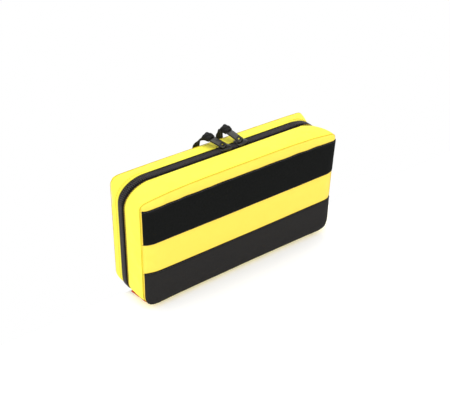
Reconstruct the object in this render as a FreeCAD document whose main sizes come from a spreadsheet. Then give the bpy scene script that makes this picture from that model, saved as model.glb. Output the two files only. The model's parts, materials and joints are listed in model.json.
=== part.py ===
import FreeCAD, Part
import math
import os
import re
import Sketcher

# A soft first aid pouch that stands on one long edge. X runs along its length, -Y is the front
# panel, +Z is up, and the origin is the middle of the footprint. All sizes are in millimetres.

doc = FreeCAD.newDocument("first_aid_kit")
sheet = doc.addObject("Spreadsheet::Sheet", "Sizes")
SIZES = {
    # the pouch as a whole
    "pouch_width": 282, "pouch_height": 149, "front_plane": -33.8, "rear_plane": 34,
    "front_round": 7, "rear_round": 5,
    "zip_plane": 9.5, "zip_half": 8,
    # corner radii of the outline at each plane, seen from the front
    "seam_corner_top": 8, "seam_corner_low": 14,
    "zip_corner_top": 42, "zip_corner_low": 18, "rear_corner_top": 22, "rear_corner_low": 18,
    # the layers of a wall, outside to inside
    "fabric": 1, "foam": 3, "lining": 0.8, "ply_gap": 0.05, "seam_lap": 4,
    # loop strips on the front panel
    "strip_thick": 1.2, "strip_tall": 49.5, "top_band": 7, "lower_strip_top": 50.5,
    # coil zip
    "tape_thick": 0.7, "tape_edge": 1.2, "coil_gap": 0.1, "coil_wide": 4, "coil_tall": 1.9,
    "coil_open": 1.3, "zip_end": 11.5, "zip_stop": 3.4, "running_gap": 0.3,
    # sliders and pulls
    "left_slider_place": 0, "right_slider_place": 24, "slider_long": 17, "slider_wide": 13.2,
    "wing_thick": 1.2, "lip_thick": 1.1, "post_long": 3, "post_wide": 2, "post_inset": 1.6,
    "crown_long": 5.5, "crown_wide": 1.1, "crown_rod": 0.7, "pull_rod": 0.9, "bar_rod": 0.55,
    "tab_wide": 8, "tab_cheek": 1.05, "tab_long": 24, "tab_eye": 4.2, "tab_slot": 4,
    "pull_lean": 32, "pull_yaw": 33,
    "hitch_long": 8.5, "hitch_wide": 9.4, "hitch_thick": 7, "tail_wide": 8, "tail_thick": 1.6,
    "tail_gap": 1.6, "tail_drop": 43,
    # the tab sewn into the lower left seam
    "side_tab_low": 2.6, "side_tab_tall": 2.6, "side_tab_thick": 1.1, "side_tab_front": -25,
    # the mesh pocket in the lid
    "pocket_half": 122, "pocket_top": 88, "pocket_deep": 10.4, "pocket_thick": 0.6, "elastic_tall": 6,
    "dressing_long": 100, "dressing_tall": 72, "dressing_thick": 3.6,
    "plaster_long": 76, "plaster_tall": 58, "plaster_thick": 2.4,
    # what the deep tray holds
    "row_left": -118, "row_floor": 7.5, "wide_roll": 15, "wide_roll_long": 75,
    "narrow_roll": 14, "narrow_roll_long": 50, "gauze_roll": 14.5, "gauze_roll_long": 60,
    "tape_roll": 15, "tape_roll_long": 25, "tape_core": 8, "core_wall": 1.2, "roll_hole": 2.5,
    "row_gap": 4, "band_tall": 12, "band_thick": 1,
    "pivot_x": -60, "pivot_z": 84, "blade_thick": 1.4, "blade_long": 52, "blade_wide": 8,
    "handle_reach": 44, "handle_ring": 10, "handle_hole": 6.4, "handle_apart": 12,
    "rivet": 2, "rivet_head": 3.4, "rivet_head_tall": 0.8, "rivet_play": 0.05, "pocket_ply": 0.6,
    "tweezers_x": 2, "tweezers_wide": 8, "tweezers_low": 46, "tweezers_long": 90,
    "tweezers_ply": 1, "tweezers_open": 5, "tweezers_root": 10,
    "packet_left": 16, "packet_long": 100, "sling_low": 45, "sling_tall": 44, "sling_thick": 15,
    "glove_low": 93, "glove_tall": 44, "glove_thick": 10,
    "wipes_low": 115, "wipes_tall": 22, "wipes_long": 108, "wipes_thick": 18,
}
for row, (name, size) in enumerate(SIZES.items(), 1):
    sheet.set(f"A{row}", name)
    sheet.set(f"B{row}", str(size))
    sheet.setAlias(f"B{row}", name)
doc.recompute()

PARTS = {}
Z_AXIS = FreeCAD.Vector(0, 0, 1)
X_AXIS = FreeCAD.Vector(1, 0, 0)
UPRIGHT = FreeCAD.Rotation(X_AXIS, 90)        # turns a flat drawing to stand in the XZ plane
ALONG_X = FreeCAD.Rotation(FreeCAD.Vector(0, 1, 0), 90)
ALONG_Y = FreeCAD.Rotation(X_AXIS, -90)
NO_TURN = FreeCAD.Rotation()


def bound(text):
    """An expression in plain size names, as the document spells it."""
    return re.sub(r"[a-z_]+", lambda m: "Sizes." + m[0] if m[0] in SIZES else m[0], str(text))


def number(text):
    """What an expression in plain size names comes to now."""
    return float(sheet.evalExpression(bound(text)))


def bind(thing, **places):
    for name, text in places.items():
        thing.setExpression(name.replace("__", "."), bound(text))
    return thing


def put(thing, x=0, y=0, z=0, turn=NO_TURN):
    thing.Placement = FreeCAD.Placement(FreeCAD.Vector(), turn)
    return bind(thing, Placement__Base__x=x, Placement__Base__y=y, Placement__Base__z=z)


def keep(node, thing):
    """Name a finished sub-part."""
    thing.Label = node
    PARTS[node] = thing
    return thing


def box(x, y, z):
    """A box from three (low, high) pairs."""
    b = doc.addObject("Part::Box", "Box")
    bind(b, Length=f"({x[1]}) - ({x[0]})", Width=f"({y[1]}) - ({y[0]})", Height=f"({z[1]}) - ({z[0]})")
    return put(b, x[0], y[0], z[0])


def rod(radius, length, x=0, y=0, z=0, turn=NO_TURN):
    c = doc.addObject("Part::Cylinder", "Rod")
    bind(c, Radius=radius, Height=length)
    return put(c, x, y, z, turn)


def cut(base, tool):
    c = doc.addObject("Part::Cut", "Cut")
    c.Base, c.Tool = base, tool
    return c


def common(base, tool):
    c = doc.addObject("Part::Common", "Common")
    c.Base, c.Tool = base, tool
    return c


def fuse(*pieces):
    f = doc.addObject("Part::MultiFuse", "Fuse")
    f.Shapes = list(pieces)
    f.Refine = True
    return f


def polygon(points, y):
    """A closed drawing of straight edges in the XZ plane at y, each corner held by its own two sizes."""
    sketch = put(doc.addObject("Sketcher::SketchObject", "Drawing"), 0, y, 0, UPRIGHT)
    count = len(points)
    spots = [FreeCAD.Vector(number(across), number(up), 0) for across, up in points]
    for i in range(count):
        sketch.addGeometry(Part.LineSegment(spots[i], spots[(i + 1) % count]), False)
    for i in range(count):
        sketch.addConstraint(Sketcher.Constraint("Coincident", i, 2, (i + 1) % count, 1))
    for i, (across, up) in enumerate(points):
        for kind, size in (("DistanceX", across), ("DistanceY", up)):
            place = sketch.addConstraint(Sketcher.Constraint(kind, -1, 1, i, 1, number(size)))
            sketch.setExpression(f"Constraints[{place}]", bound(size))
    return sketch


def plate(points, y, thick):
    """A flat plate with that outline, from y back by its thickness."""
    e = doc.addObject("Part::Extrusion", "Plate")
    e.Base, e.DirMode, e.Solid = polygon(points, f"({y}) + ({thick})"), "Normal", True
    return bind(e, LengthFwd=thick)


def outline(y, inset, top, low):
    """The pouch's outline at y, moved in by inset: four straight sides and four round corners."""
    half, base, roof = number(f"pouch_width / 2 - ({inset})"), number(inset), number(f"pouch_height - ({inset})")
    low_r, top_r = number(low), number(top)
    sketch = put(doc.addObject("Sketcher::SketchObject", "Outline"), 0, y, 0, UPRIGHT)
    quarter = math.pi / 2
    v = FreeCAD.Vector
    sides = [
        (v(-half + low_r, base, 0), v(half - low_r, base, 0)),
        (v(half, base + low_r, 0), v(half, roof - top_r, 0)),
        (v(half - top_r, roof, 0), v(-half + top_r, roof, 0)),
        (v(-half, roof - top_r, 0), v(-half, base + low_r, 0)),
    ]
    middles = [
        (half - low_r, base + low_r, low_r), (half - top_r, roof - top_r, top_r),
        (-half + top_r, roof - top_r, top_r), (-half + low_r, base + low_r, low_r),
    ]
    for i, (start, end) in enumerate(sides):
        sketch.addGeometry(Part.LineSegment(start, end), False)
        x, z, r = middles[i]
        circle = Part.Circle(v(x, z, 0), Z_AXIS, r)
        sketch.addGeometry(Part.ArcOfCircle(circle, (i - 1) * quarter, i * quarter), False)
    for i in range(4):
        line, arc, following = 2 * i, 2 * i + 1, (2 * i + 2) % 8
        sketch.addConstraint(Sketcher.Constraint("Tangent", line, 2, arc, 1))
        sketch.addConstraint(Sketcher.Constraint("Tangent", arc, 2, following, 1))
        sketch.addConstraint(Sketcher.Constraint("Horizontal" if i % 2 == 0 else "Vertical", line))
    for kind, side, size in (
        ("DistanceY", 0, f"({inset})"), ("DistanceX", 2, f"pouch_width / 2 - ({inset})"),
        ("DistanceY", 4, f"pouch_height - ({inset})"), ("DistanceX", 6, f"({inset}) - pouch_width / 2"),
    ):
        place = sketch.addConstraint(Sketcher.Constraint(kind, -1, 1, side, 1, number(size)))
        sketch.setExpression(f"Constraints[{place}]", bound(size))
    for arc, size in ((1, low), (3, top), (5, top), (7, low)):
        place = sketch.addConstraint(Sketcher.Constraint("Radius", arc, number(size)))
        sketch.setExpression(f"Constraints[{place}]", bound(size))
    return sketch


def loft(*sections):
    """A solid through outlines, each given as (y, inset, top radius, lower radius)."""
    made = doc.addObject("Part::Loft", "Loft")
    made.Sections, made.Solid, made.Ruled = [outline(*s) for s in sections], True, True
    return made


FRONT_SEAM, REAR_SEAM = "(front_plane + front_round)", "(rear_plane - rear_round)"
ZIP_FRONT, ZIP_REAR = "(zip_plane - zip_half)", "(zip_plane + zip_half)"


def section(y, inset):
    """One outline of the side walls at y: the corners grow from the front seam to the zip and shrink to the rear."""
    share_front = f"min(1; max(0; (({y}) - {FRONT_SEAM}) / ({ZIP_FRONT} - {FRONT_SEAM})))"
    share_rear = f"min(1; max(0; (({y}) - {ZIP_REAR}) / ({REAR_SEAM} - {ZIP_REAR})))"
    corners = [
        f"seam_corner_{end} + (zip_corner_{end} - seam_corner_{end}) * {share_front}"
        f" + (rear_corner_{end} - zip_corner_{end}) * {share_rear} - ({inset})"
        for end in ("top", "low")
    ]
    return (y, inset, *corners)


def ring(stops, outer, inner):
    """A stretch of the side walls between two insets, from the first to the last of its stops along Y."""
    return cut(loft(*[section(y, outer) for y in stops]), loft(*[section(y, inner) for y in stops]))


# insets of the layers, outside to inside
FOAM_OUT = "(fabric + ply_gap)"
FOAM_IN = "(fabric + foam)"
LINING_OUT = "(fabric + foam + ply_gap)"
LINING_IN = "(fabric + foam + ply_gap + lining)"
TAPE_IN = "(fabric + ply_gap + tape_thick)"
COIL_OUT = "(fabric - coil_tall)"
ALL_X = ("-pouch_width", "pouch_width")
ALL_Y = ("2 * front_plane", "2 * rear_plane")
TRAY_FACE = f"({FRONT_SEAM} + lining + ply_gap)"       # the deep tray's lining, where its contents lie
LID_FACE = f"({REAR_SEAM} - lining - ply_gap)"

# Front and rear panels: a shallow dome of fabric, the foam that fills it and a flat lining.
for tray, plane, seam, inward, rounded, top, low in (
    ("base", "front_plane", FRONT_SEAM, "", "front_round", "seam_corner_top", "seam_corner_low"),
    ("lid", "rear_plane", REAR_SEAM, "-", "rear_round", "rear_corner_top", "rear_corner_low"),
):
    def dome(skin, edge):
        face = (f"{plane} + {inward}1 * ({skin})", f"{rounded} + ({skin}) * 0.6",
                f"{top} - {rounded} * 0.66", f"{low} - {rounded} * 0.8")
        rim = (f"{seam} - {inward}1 * ({edge})", skin, f"{top} - ({skin})", f"{low} - ({skin})")
        return loft(face, rim)

    keep(f"{tray}_outer_panel", cut(dome("0", "0"), dome("fabric", "0")))
    keep(f"{tray}_foam_panel", dome("fabric + 3 * ply_gap", "ply_gap"))
    flat_from, flat_to = section(f"{seam} + {inward}1 * ply_gap", FOAM_OUT), section(
        f"{seam} + {inward}1 * (ply_gap + lining)", FOAM_OUT)
    keep(f"{tray}_lining_panel", loft(flat_from, flat_to))

# Side walls of both trays: fabric, foam, lining and the binding over the seam with the zip tape.
WALLS = {
    "base": (FRONT_SEAM, f"({ZIP_FRONT} - seam_lap)", ZIP_FRONT, f"({FRONT_SEAM} + 2 * ply_gap + lining)"),
    "lid": (REAR_SEAM, f"({ZIP_REAR} + seam_lap)", ZIP_REAR, f"({REAR_SEAM} - 2 * ply_gap - lining)"),
}
TOWARDS_ZIP = {"base": "+", "lid": "-"}
for tray, (seam, lap, edge, inside) in WALLS.items():
    lap_end = f"({lap} {TOWARDS_ZIP[tray]} ply_gap)"
    keep(f"{tray}_gusset", ring((seam, edge), "0", "fabric"))
    keep(f"{tray}_gusset_foam", ring((inside, lap), FOAM_OUT, FOAM_IN))
    keep(f"{tray}_gusset_lining", ring((inside, lap), LINING_OUT, LINING_IN))
    keep(f"{tray}_seam_binding", ring((lap_end, edge), f"{TAPE_IN} + ply_gap", LINING_IN))

# Zip: two tapes with their coils, from the left side over the top to the right side, and metal end stops.
END_X = "(pouch_width / 2 - zip_end)"                  # where the chain starts, on the lower corners
BELOW = ("-1", "zip_corner_low")


def chain_only(band, start):
    """The part of a band outside the flat bottom, beyond start on either side."""
    return cut(band, box((f"-{start}", start), ALL_Y, BELOW))


SPLIT = {"base": "-", "lid": "+"}
for tray, way in SPLIT.items():
    _, lap, edge, _ = WALLS[tray]
    lap_end = f"({lap} {TOWARDS_ZIP[tray]} ply_gap)"
    tape = ring((lap_end, edge, f"(zip_plane {way} tape_edge)"), FOAM_OUT, TAPE_IN)
    keep(f"{tray}_zip_tape", chain_only(tape, END_X))
    near, far = f"(zip_plane {way} coil_gap)", f"(zip_plane {way} (coil_gap + coil_wide))"
    chain = ring((far, near), COIL_OUT, "fabric")
    chain = chain_only(chain, f"({END_X} + zip_stop + ply_gap)")
    opened = box(
        ("left_slider_place - 1", "right_slider_place + 1"),
        ("zip_plane - coil_open", "zip_plane + coil_open"), ("pouch_height / 2", "2 * pouch_height"),
    )
    keep(f"{tray}_zip_coil", cut(chain, opened))
    stops = chain_only(ring((far, near), COIL_OUT, "fabric"), END_X)
    stops = common(stops, box((f"-{END_X} - zip_stop", f"{END_X} + zip_stop"), ALL_Y, BELOW))
    keep(f"{tray}_zip_stops", stops)
hinge = ring((f"{ZIP_FRONT} + ply_gap", f"{ZIP_REAR} - ply_gap"), "0", "fabric")
keep("bottom_hinge", common(hinge, box((f"-{END_X} + ply_gap", f"{END_X} - ply_gap"), ALL_Y, BELOW)))

# Loop strips over the front panel, wrapped onto its rounded edge, and the tab in the lower left seam.
def cover(shift):
    rim = (f"{FRONT_SEAM} - ({shift})", "0", "seam_corner_top", "seam_corner_low")
    face = (f"front_plane - ({shift})", "front_round", "seam_corner_top - front_round * 0.66",
            "seam_corner_low - front_round * 0.8")
    return loft(face, rim)


for name, low, high in (
    ("upper_loop_strip", "pouch_height - top_band - strip_tall", "pouch_height - top_band"),
    ("lower_loop_strip", "-1", "lower_strip_top"),
):
    layer = cut(cover("strip_thick"), cover("ply_gap"))
    keep(name, common(layer, box(ALL_X, ALL_Y, (low, high))))
tab_ring = ring(("side_tab_front", ZIP_FRONT), "-side_tab_thick", "-ply_gap")
tab_space = (("-pouch_width", "-pouch_width / 4"), ALL_Y, ("side_tab_low", "side_tab_low + side_tab_tall"))
keep("red_side_tab", common(tab_ring, box(*tab_space)))

# Sliders: two wings round the coils, a wedge post, lips that grip, a crown, and the pull that swings on it.
for side, nose in (("left", 1), ("right", -1)):
    place = f"{side}_slider_place"
    ends = (f"{place} - slider_long / 2", f"{place} + slider_long / 2")
    wide = ("zip_plane - slider_wide / 2", "zip_plane + slider_wide / 2")
    roof = "(pouch_height - fabric + coil_tall + running_gap)"
    floor = f"(pouch_height - {TAPE_IN} - running_gap)"
    lip_low = f"(pouch_height - {FOAM_OUT} + running_gap)"
    nose_end = f"({place} + {nose} * (slider_long / 2 - post_inset))"
    post_x = (nose_end + " - post_long", nose_end) if nose > 0 else (nose_end, nose_end + " + post_long")
    pieces = [
        box(ends, wide, (roof, f"{roof} + wing_thick")),
        box(ends, wide, (f"{floor} - wing_thick", floor)),
        box(post_x, ("zip_plane - post_wide / 2", "zip_plane + post_wide / 2"), (floor, roof)),
        box(ends, (wide[0], f"{wide[0]} + lip_thick"), (lip_low, roof)),
        box(ends, (f"{wide[1]} - lip_thick", wide[1]), (lip_low, roof)),
    ]
    keep(f"{side}_slider_body", fuse(*pieces))
    crown_floor = f"({roof} + wing_thick)"
    pivot_z = f"({crown_floor} + running_gap + pull_rod)"
    crown_roof = f"({pivot_z} + pull_rod + running_gap)"
    crown_y = ("zip_plane - crown_wide / 2", "zip_plane + crown_wide / 2")
    crown = cut(
        box((f"{place} - crown_long / 2", f"{place} + crown_long / 2"), crown_y,
            (crown_floor, f"{crown_roof} + 2 * crown_rod")),
        box((f"{place} - crown_long / 2 + crown_rod", f"{place} + crown_long / 2 - crown_rod"),
            ("zip_plane - crown_wide", "zip_plane + crown_wide"), (crown_floor, crown_roof)),
    )
    keep(f"{side}_crown", crown)

    # the pull lies along +Y from the middle of its rod, and is then turned to where it leans
    lean = FreeCAD.Rotation(Z_AXIS, sheet.get("pull_yaw")) * FreeCAD.Rotation(X_AXIS, sheet.get("pull_lean"))
    slab = box(("-tab_wide / 2", "tab_wide / 2"), ("0", "tab_long"), ("-pull_rod", "pull_rod"))
    window = ("-tab_wide / 2 + tab_cheek", "tab_wide / 2 - tab_cheek")
    eye = box(window, ("-1", "tab_eye"), ("-2 * pull_rod", "2 * pull_rod"))
    slot = box(window, ("tab_long - 1.2 - tab_slot", "tab_long - 1.2"), ("-2 * pull_rod", "2 * pull_rod"))
    bar = rod("bar_rod", "tab_wide", "-tab_wide / 2", 0, 0, ALONG_X)
    keep(f"{side}_pull_tab", put(fuse(cut(cut(slab, eye), slot), bar), place, "zip_plane", pivot_z, lean))
    knot_from = "(tab_long - hitch_long / 2)"
    knot = box(("-hitch_wide / 2", "hitch_wide / 2"), (knot_from, f"{knot_from} + hitch_long"),
               ("-hitch_thick / 2", "hitch_thick / 2"))
    hollow = box(("-tab_wide / 2 - ply_gap", "tab_wide / 2 + ply_gap"), ("0", "tab_long + ply_gap"),
                 ("-pull_rod - ply_gap", "pull_rod + ply_gap"))
    keep(f"{side}_pull_hitch", put(cut(knot, hollow), place, "zip_plane", pivot_z, lean))

    # the tape tail starts behind the knot and hangs down behind the rear edge
    reach = "(tab_long + hitch_long / 2)"
    knot_x = f"({place} - sin(pull_yaw * 1deg) * cos(pull_lean * 1deg) * {reach})"
    knot_y = f"(zip_plane + cos(pull_yaw * 1deg) * cos(pull_lean * 1deg) * {reach})"
    knot_z = f"({pivot_z} + sin(pull_lean * 1deg) * {reach})"
    tail_y = ("rear_plane + tail_gap", "rear_plane + tail_gap + tail_thick")
    tail_x = (f"{knot_x} - tail_wide / 2", f"{knot_x} + tail_wide / 2")
    arm = box(tail_x, (knot_y, tail_y[1]), (f"{knot_z} - tail_thick - 1.2", f"{knot_z} - 1.2"))
    drop = box(tail_x, tail_y, (f"{knot_z} - tail_drop", f"{knot_z} - 1.2"))
    keep(f"{side}_pull_tail", fuse(arm, drop))

# Lid: an open topped mesh pocket with an elastic edge, and the flat packets in it.
pocket_y = (f"{LID_FACE} - pocket_deep", LID_FACE)
shell = box(("-pocket_half", "pocket_half"), pocket_y, (f"{LINING_IN} + zip_corner_low", "pocket_top"))
room = box(("-pocket_half + pocket_thick", "pocket_half - pocket_thick"),
           (f"{pocket_y[0]} + pocket_thick", "rear_plane"),
           (f"{LINING_IN} + zip_corner_low + pocket_thick", "pocket_top + 1"))
keep("lid_mesh_pocket", cut(shell, room))
keep("pocket_elastic", box(("-pocket_half", "pocket_half"), (f"{pocket_y[0]} - ply_gap - 1", f"{pocket_y[0]} - ply_gap"),
                           ("pocket_top - elastic_tall", "pocket_top")))
packet_z = f"({LINING_IN} + zip_corner_low + pocket_thick + ply_gap)"
for name, left, size, depth in (
    ("dressing_packet", "-pocket_half + 4", "dressing", "ply_gap"),
    ("plaster_packet", "-pocket_half + 14", "plaster", "(dressing_thick + 2 * ply_gap)"),
):
    keep(name, box((left, f"{left} + {size}_long"),
                   (f"{LID_FACE} - {depth} - {size}_thick", f"{LID_FACE} - {depth}"),
                   (packet_z, f"{packet_z} + {size}_tall")))

# Deep tray: a row of rolls under one elastic band.
def roll(node, radius, bore, left, length, y_radius=None):
    y, z = f"{TRAY_FACE} + {y_radius or radius} + ply_gap", f"row_floor + {y_radius or radius}"
    body = rod(radius, length, left, y, z, ALONG_X)
    keep(node, cut(body, rod(bore, f"{length} + 2", f"{left} - 1", y, z, ALONG_X)))


lefts = ["row_left"]
for name in ("wide_roll", "narrow_roll", "tape_roll"):
    lefts.append(f"({lefts[-1]} + {name}_long + row_gap)")
roll("wide_bandage_roll", "wide_roll", "roll_hole", lefts[0], "wide_roll_long")
roll("narrow_bandage_roll", "narrow_roll", "roll_hole", lefts[1], "narrow_roll_long")
roll("adhesive_tape_roll", "tape_roll", "(tape_core + ply_gap)", lefts[2], "tape_roll_long")
roll("tape_roll_core", "tape_core", "(tape_core - core_wall)", lefts[2], "tape_roll_long", "tape_roll")
roll("gauze_roll", "gauze_roll", "roll_hole", lefts[3], "gauze_roll_long")
row_end = f"({lefts[3]} + gauze_roll_long)"
band_y = f"({TRAY_FACE} + 2 * wide_roll + 3 * ply_gap)"
band_z = ("row_floor + wide_roll - band_tall / 2", "row_floor + wide_roll + band_tall / 2")
keep("roll_elastic_band", fuse(
    box(("row_left - 2 * band_thick", f"{row_end} + 2 * band_thick"), (band_y, f"{band_y} + band_thick"), band_z),
    box(("row_left - 2 * band_thick", "row_left - band_thick"), (f"{TRAY_FACE} + ply_gap", band_y), band_z),
    box((f"{row_end} + band_thick", f"{row_end} + 2 * band_thick"), (f"{TRAY_FACE} + ply_gap", band_y), band_z),
))

# Scissors on a backing patch: each half is a blade, a shank and a finger ring, and a rivet joins them.
patch_y = (f"{TRAY_FACE} + ply_gap", f"{TRAY_FACE} + ply_gap + pocket_ply")
keep("scissors_patch", box(("pivot_x - blade_long", "pivot_x + handle_reach"), patch_y,
                           ("pivot_z - 4", "pivot_z + 4")))
for node, up, ply in (("scissors_fixed_half", 1, 0), ("scissors_moving_half", -1, 1)):
    y = f"({patch_y[1]} + 2 * ply_gap + rivet_head_tall + {ply} * (blade_thick + ply_gap))"
    blade = plate([
        ("pivot_x - blade_long", f"pivot_z - {up} * 1"), ("pivot_x + 4", f"pivot_z - {up} * blade_wide / 2"),
        ("pivot_x + 4", f"pivot_z + {up} * blade_wide / 2"), ("pivot_x - blade_long / 2", f"pivot_z + {up} * 3"),
    ], y, "blade_thick")
    ring_z = f"(pivot_z + {up} * handle_apart)"
    shank = plate([
        ("pivot_x", "pivot_z - 3"), ("pivot_x + handle_reach - handle_ring + 2", f"{ring_z} - 2"),
        ("pivot_x + handle_reach - handle_ring + 2", f"{ring_z} + 2"), ("pivot_x", "pivot_z + 3"),
    ], y, "blade_thick")
    disc = rod("handle_ring", "blade_thick", "pivot_x + handle_reach", y, ring_z, ALONG_Y)
    hole = rod("handle_hole", "blade_thick + 2", "pivot_x + handle_reach", f"{y} - 1", ring_z, ALONG_Y)
    pin = rod("rivet + rivet_play", "blade_thick + 2", "pivot_x", f"{y} - 1", "pivot_z", ALONG_Y)
    keep(node, cut(cut(fuse(blade, shank, disc), hole), pin))
rivet_y = f"({patch_y[1]} + ply_gap)"
stack = "(2 * blade_thick + 4 * ply_gap)"
keep("scissors_rivet", fuse(
    rod("rivet", f"2 * rivet_head_tall + {stack}", "pivot_x", rivet_y, "pivot_z", ALONG_Y),
    rod("rivet_head", "rivet_head_tall", "pivot_x", rivet_y, "pivot_z", ALONG_Y),
    rod("rivet_head", "rivet_head_tall", "pivot_x", f"{rivet_y} + rivet_head_tall + {stack}", "pivot_z", ALONG_Y),
))
loop_x = ("pivot_x + handle_reach - 3", "pivot_x + handle_reach + 3")
loop_top = f"{patch_y[1]} + rivet_head_tall + blade_thick + 6 * ply_gap"
keep("scissors_loop", fuse(
    box(loop_x, (f"{TRAY_FACE} + ply_gap", loop_top), ("pivot_z + handle_apart + 1", "pivot_z + handle_apart + 2")),
    box(loop_x, (loop_top, f"{loop_top} + 0.8"),
        ("pivot_z + handle_apart + 1", "pivot_z + handle_apart + handle_ring + 2")),
    box(loop_x, (f"{TRAY_FACE} + ply_gap", loop_top),
        ("pivot_z + handle_apart + handle_ring + 1", "pivot_z + handle_apart + handle_ring + 2")),
))

# Tweezers: two sprung legs joined at the top, under their own elastic loop.
legs_x = ("tweezers_x", "tweezers_x + tweezers_wide")
leg_y = f"({TRAY_FACE} + ply_gap)"
far_leg = f"({leg_y} + tweezers_ply + tweezers_open)"
tweezers_top = "(tweezers_low + tweezers_long)"
keep("tweezers", fuse(
    box(legs_x, (leg_y, f"{leg_y} + tweezers_ply"), ("tweezers_low", tweezers_top)),
    box(legs_x, (far_leg, f"{far_leg} + tweezers_ply"), ("tweezers_low", tweezers_top)),
    box(legs_x, (leg_y, far_leg), (f"{tweezers_top} - tweezers_root", tweezers_top)),
))

# Packets in the deep tray.
for name, left, long in (("sling", "packet_left", "packet_long"), ("glove", "packet_left", "packet_long"),
                         ("wipes", "row_left + 4", "wipes_long")):
    keep(f"{name}_packet", box((left, f"{left} + {long}"), (leg_y, f"{leg_y} + {name}_thick"),
                               (f"{name}_low", f"{name}_low + {name}_tall")))

doc.recompute()
for thing in doc.Objects:
    if "Invalid" in thing.State or "Error" in thing.State:
        raise RuntimeError(f"{thing.Label} did not compute: {thing.State}")
for node, thing in PARTS.items():
    if thing.Shape.isNull() or not thing.Shape.isValid() or not thing.Shape.Solids:
        raise RuntimeError(f"{node} has no valid shape")
os.makedirs("parts", exist_ok=True)
for node, thing in PARTS.items():
    thing.Shape.exportStep(f"parts/{node}.step")
    print(f"{node:24s} solids {len(thing.Shape.Solids)} volume {thing.Shape.Volume:10.1f}")
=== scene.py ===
"""The looks of a soft first aid pouch: padded yellow trays, loop strips, a coil zip and what it holds.

Every length is in metres. X runs along the pouch, -Y is its front panel and +Z is up. Places come from
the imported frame; each sub-assembly is a class that builds its own meshes and dresses them.
"""

from __future__ import annotations

import json
import logging
import math
from dataclasses import dataclass, field
from enum import Enum

import bmesh
import bpy
import numpy as np
from mathutils import Matrix, Vector
from mathutils.bvhtree import BVHTree


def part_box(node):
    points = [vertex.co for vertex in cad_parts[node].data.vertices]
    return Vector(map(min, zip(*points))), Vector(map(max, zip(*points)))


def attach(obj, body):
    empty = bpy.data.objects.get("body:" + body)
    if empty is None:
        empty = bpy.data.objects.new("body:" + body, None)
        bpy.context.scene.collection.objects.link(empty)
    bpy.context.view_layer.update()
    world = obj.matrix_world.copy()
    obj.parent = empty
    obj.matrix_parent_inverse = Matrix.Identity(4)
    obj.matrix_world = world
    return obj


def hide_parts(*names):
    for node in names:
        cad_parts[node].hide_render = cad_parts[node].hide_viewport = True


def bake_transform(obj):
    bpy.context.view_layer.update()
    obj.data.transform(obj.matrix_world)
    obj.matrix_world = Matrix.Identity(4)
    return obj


MM = 0.001
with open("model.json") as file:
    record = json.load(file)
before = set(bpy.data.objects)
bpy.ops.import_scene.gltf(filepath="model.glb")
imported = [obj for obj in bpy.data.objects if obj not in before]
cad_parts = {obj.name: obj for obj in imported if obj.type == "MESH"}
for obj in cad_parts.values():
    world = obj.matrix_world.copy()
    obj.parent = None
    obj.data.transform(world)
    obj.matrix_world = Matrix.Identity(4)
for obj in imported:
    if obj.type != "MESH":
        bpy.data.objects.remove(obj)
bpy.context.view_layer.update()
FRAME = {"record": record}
LOG = logging.getLogger("first_aid_kit")
Point = tuple[float, float, float]
Array = np.ndarray
Piece = bpy.types.Object
Tree = bpy.types.NodeTree
Socket = bpy.types.NodeSocket


class Tray(Enum):
    """The two halves of the pouch, by the CAD body that each rides on."""

    FRONT = "base"
    REAR = "lid"

    @property
    def word(self) -> str:
        """The half as the pieces' names spell it."""
        return self.name.lower()

    @property
    def sign(self) -> int:
        """The way along Y from its panel to the zip."""
        return 1 if self is Tray.FRONT else -1


class Side(Enum):
    """The two sliders, by the way each runs to open the zip."""

    LEFT = -1
    RIGHT = 1

    @property
    def word(self) -> str:
        """The side as the CAD nodes spell it."""
        return self.name.lower()


# ---------------------------------------------------------------- shader groups and finishes


def new_group(name: str, inputs: dict[str, float], outputs: dict[str, str]) -> Tree:
    """Start a shader node group.

    Args:
        name: the group's name.
        inputs: each float input's name and its default.
        outputs: each output's name and its socket type.

    Returns:
        The tree, with an input node named IN and an output node named OUT.
    """
    tree = bpy.data.node_groups.new(name, "ShaderNodeTree")
    tree.interface.new_socket("Vector", in_out="INPUT", socket_type="NodeSocketVector")
    for label, value in inputs.items():
        tree.interface.new_socket(label, in_out="INPUT", socket_type="NodeSocketFloat").default_value = value
    for label, kind in outputs.items():
        tree.interface.new_socket(label, in_out="OUTPUT", socket_type=kind)
    tree.nodes.new("NodeGroupInput").name = "IN"
    tree.nodes.new("NodeGroupOutput").name = "OUT"
    return tree


def math_node(tree: Tree, operation: str, *values: object, clamp: bool = False) -> Socket:
    """Add a Math node whose inputs are sockets or plain numbers, and give its result.

    Args:
        tree: the tree it goes in.
        operation: what it does.
        values: its inputs.
        clamp: True to keep it from 0 to 1.

    Returns:
        Its output.
    """
    node = tree.nodes.new("ShaderNodeMath")
    node.operation, node.use_clamp = operation, clamp
    for socket, value in zip(node.inputs, values):
        if isinstance(value, Socket):
            tree.links.new(value, socket)
        else:
            socket.default_value = value
    return node.outputs[0]


def noise_node(tree: Tree, vector: Socket, scale: object, detail: float = 3.0,
               roughness: float = 0.55) -> Socket:
    """Add a Noise Texture on a vector and give its factor.

    Args:
        tree: the tree it goes in.
        vector: the places.
        scale: a number or a socket.
        detail: how many octaves.
        roughness: how strong the fine ones are.

    Returns:
        Its factor.
    """
    node = tree.nodes.new("ShaderNodeTexNoise")
    node.inputs["Detail"].default_value, node.inputs["Roughness"].default_value = detail, roughness
    tree.links.new(vector, node.inputs["Vector"])
    if isinstance(scale, Socket):
        tree.links.new(scale, node.inputs["Scale"])
    else:
        node.inputs["Scale"].default_value = scale
    return node.outputs["Factor"] if "Factor" in node.outputs else node.outputs["Fac"]


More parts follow.
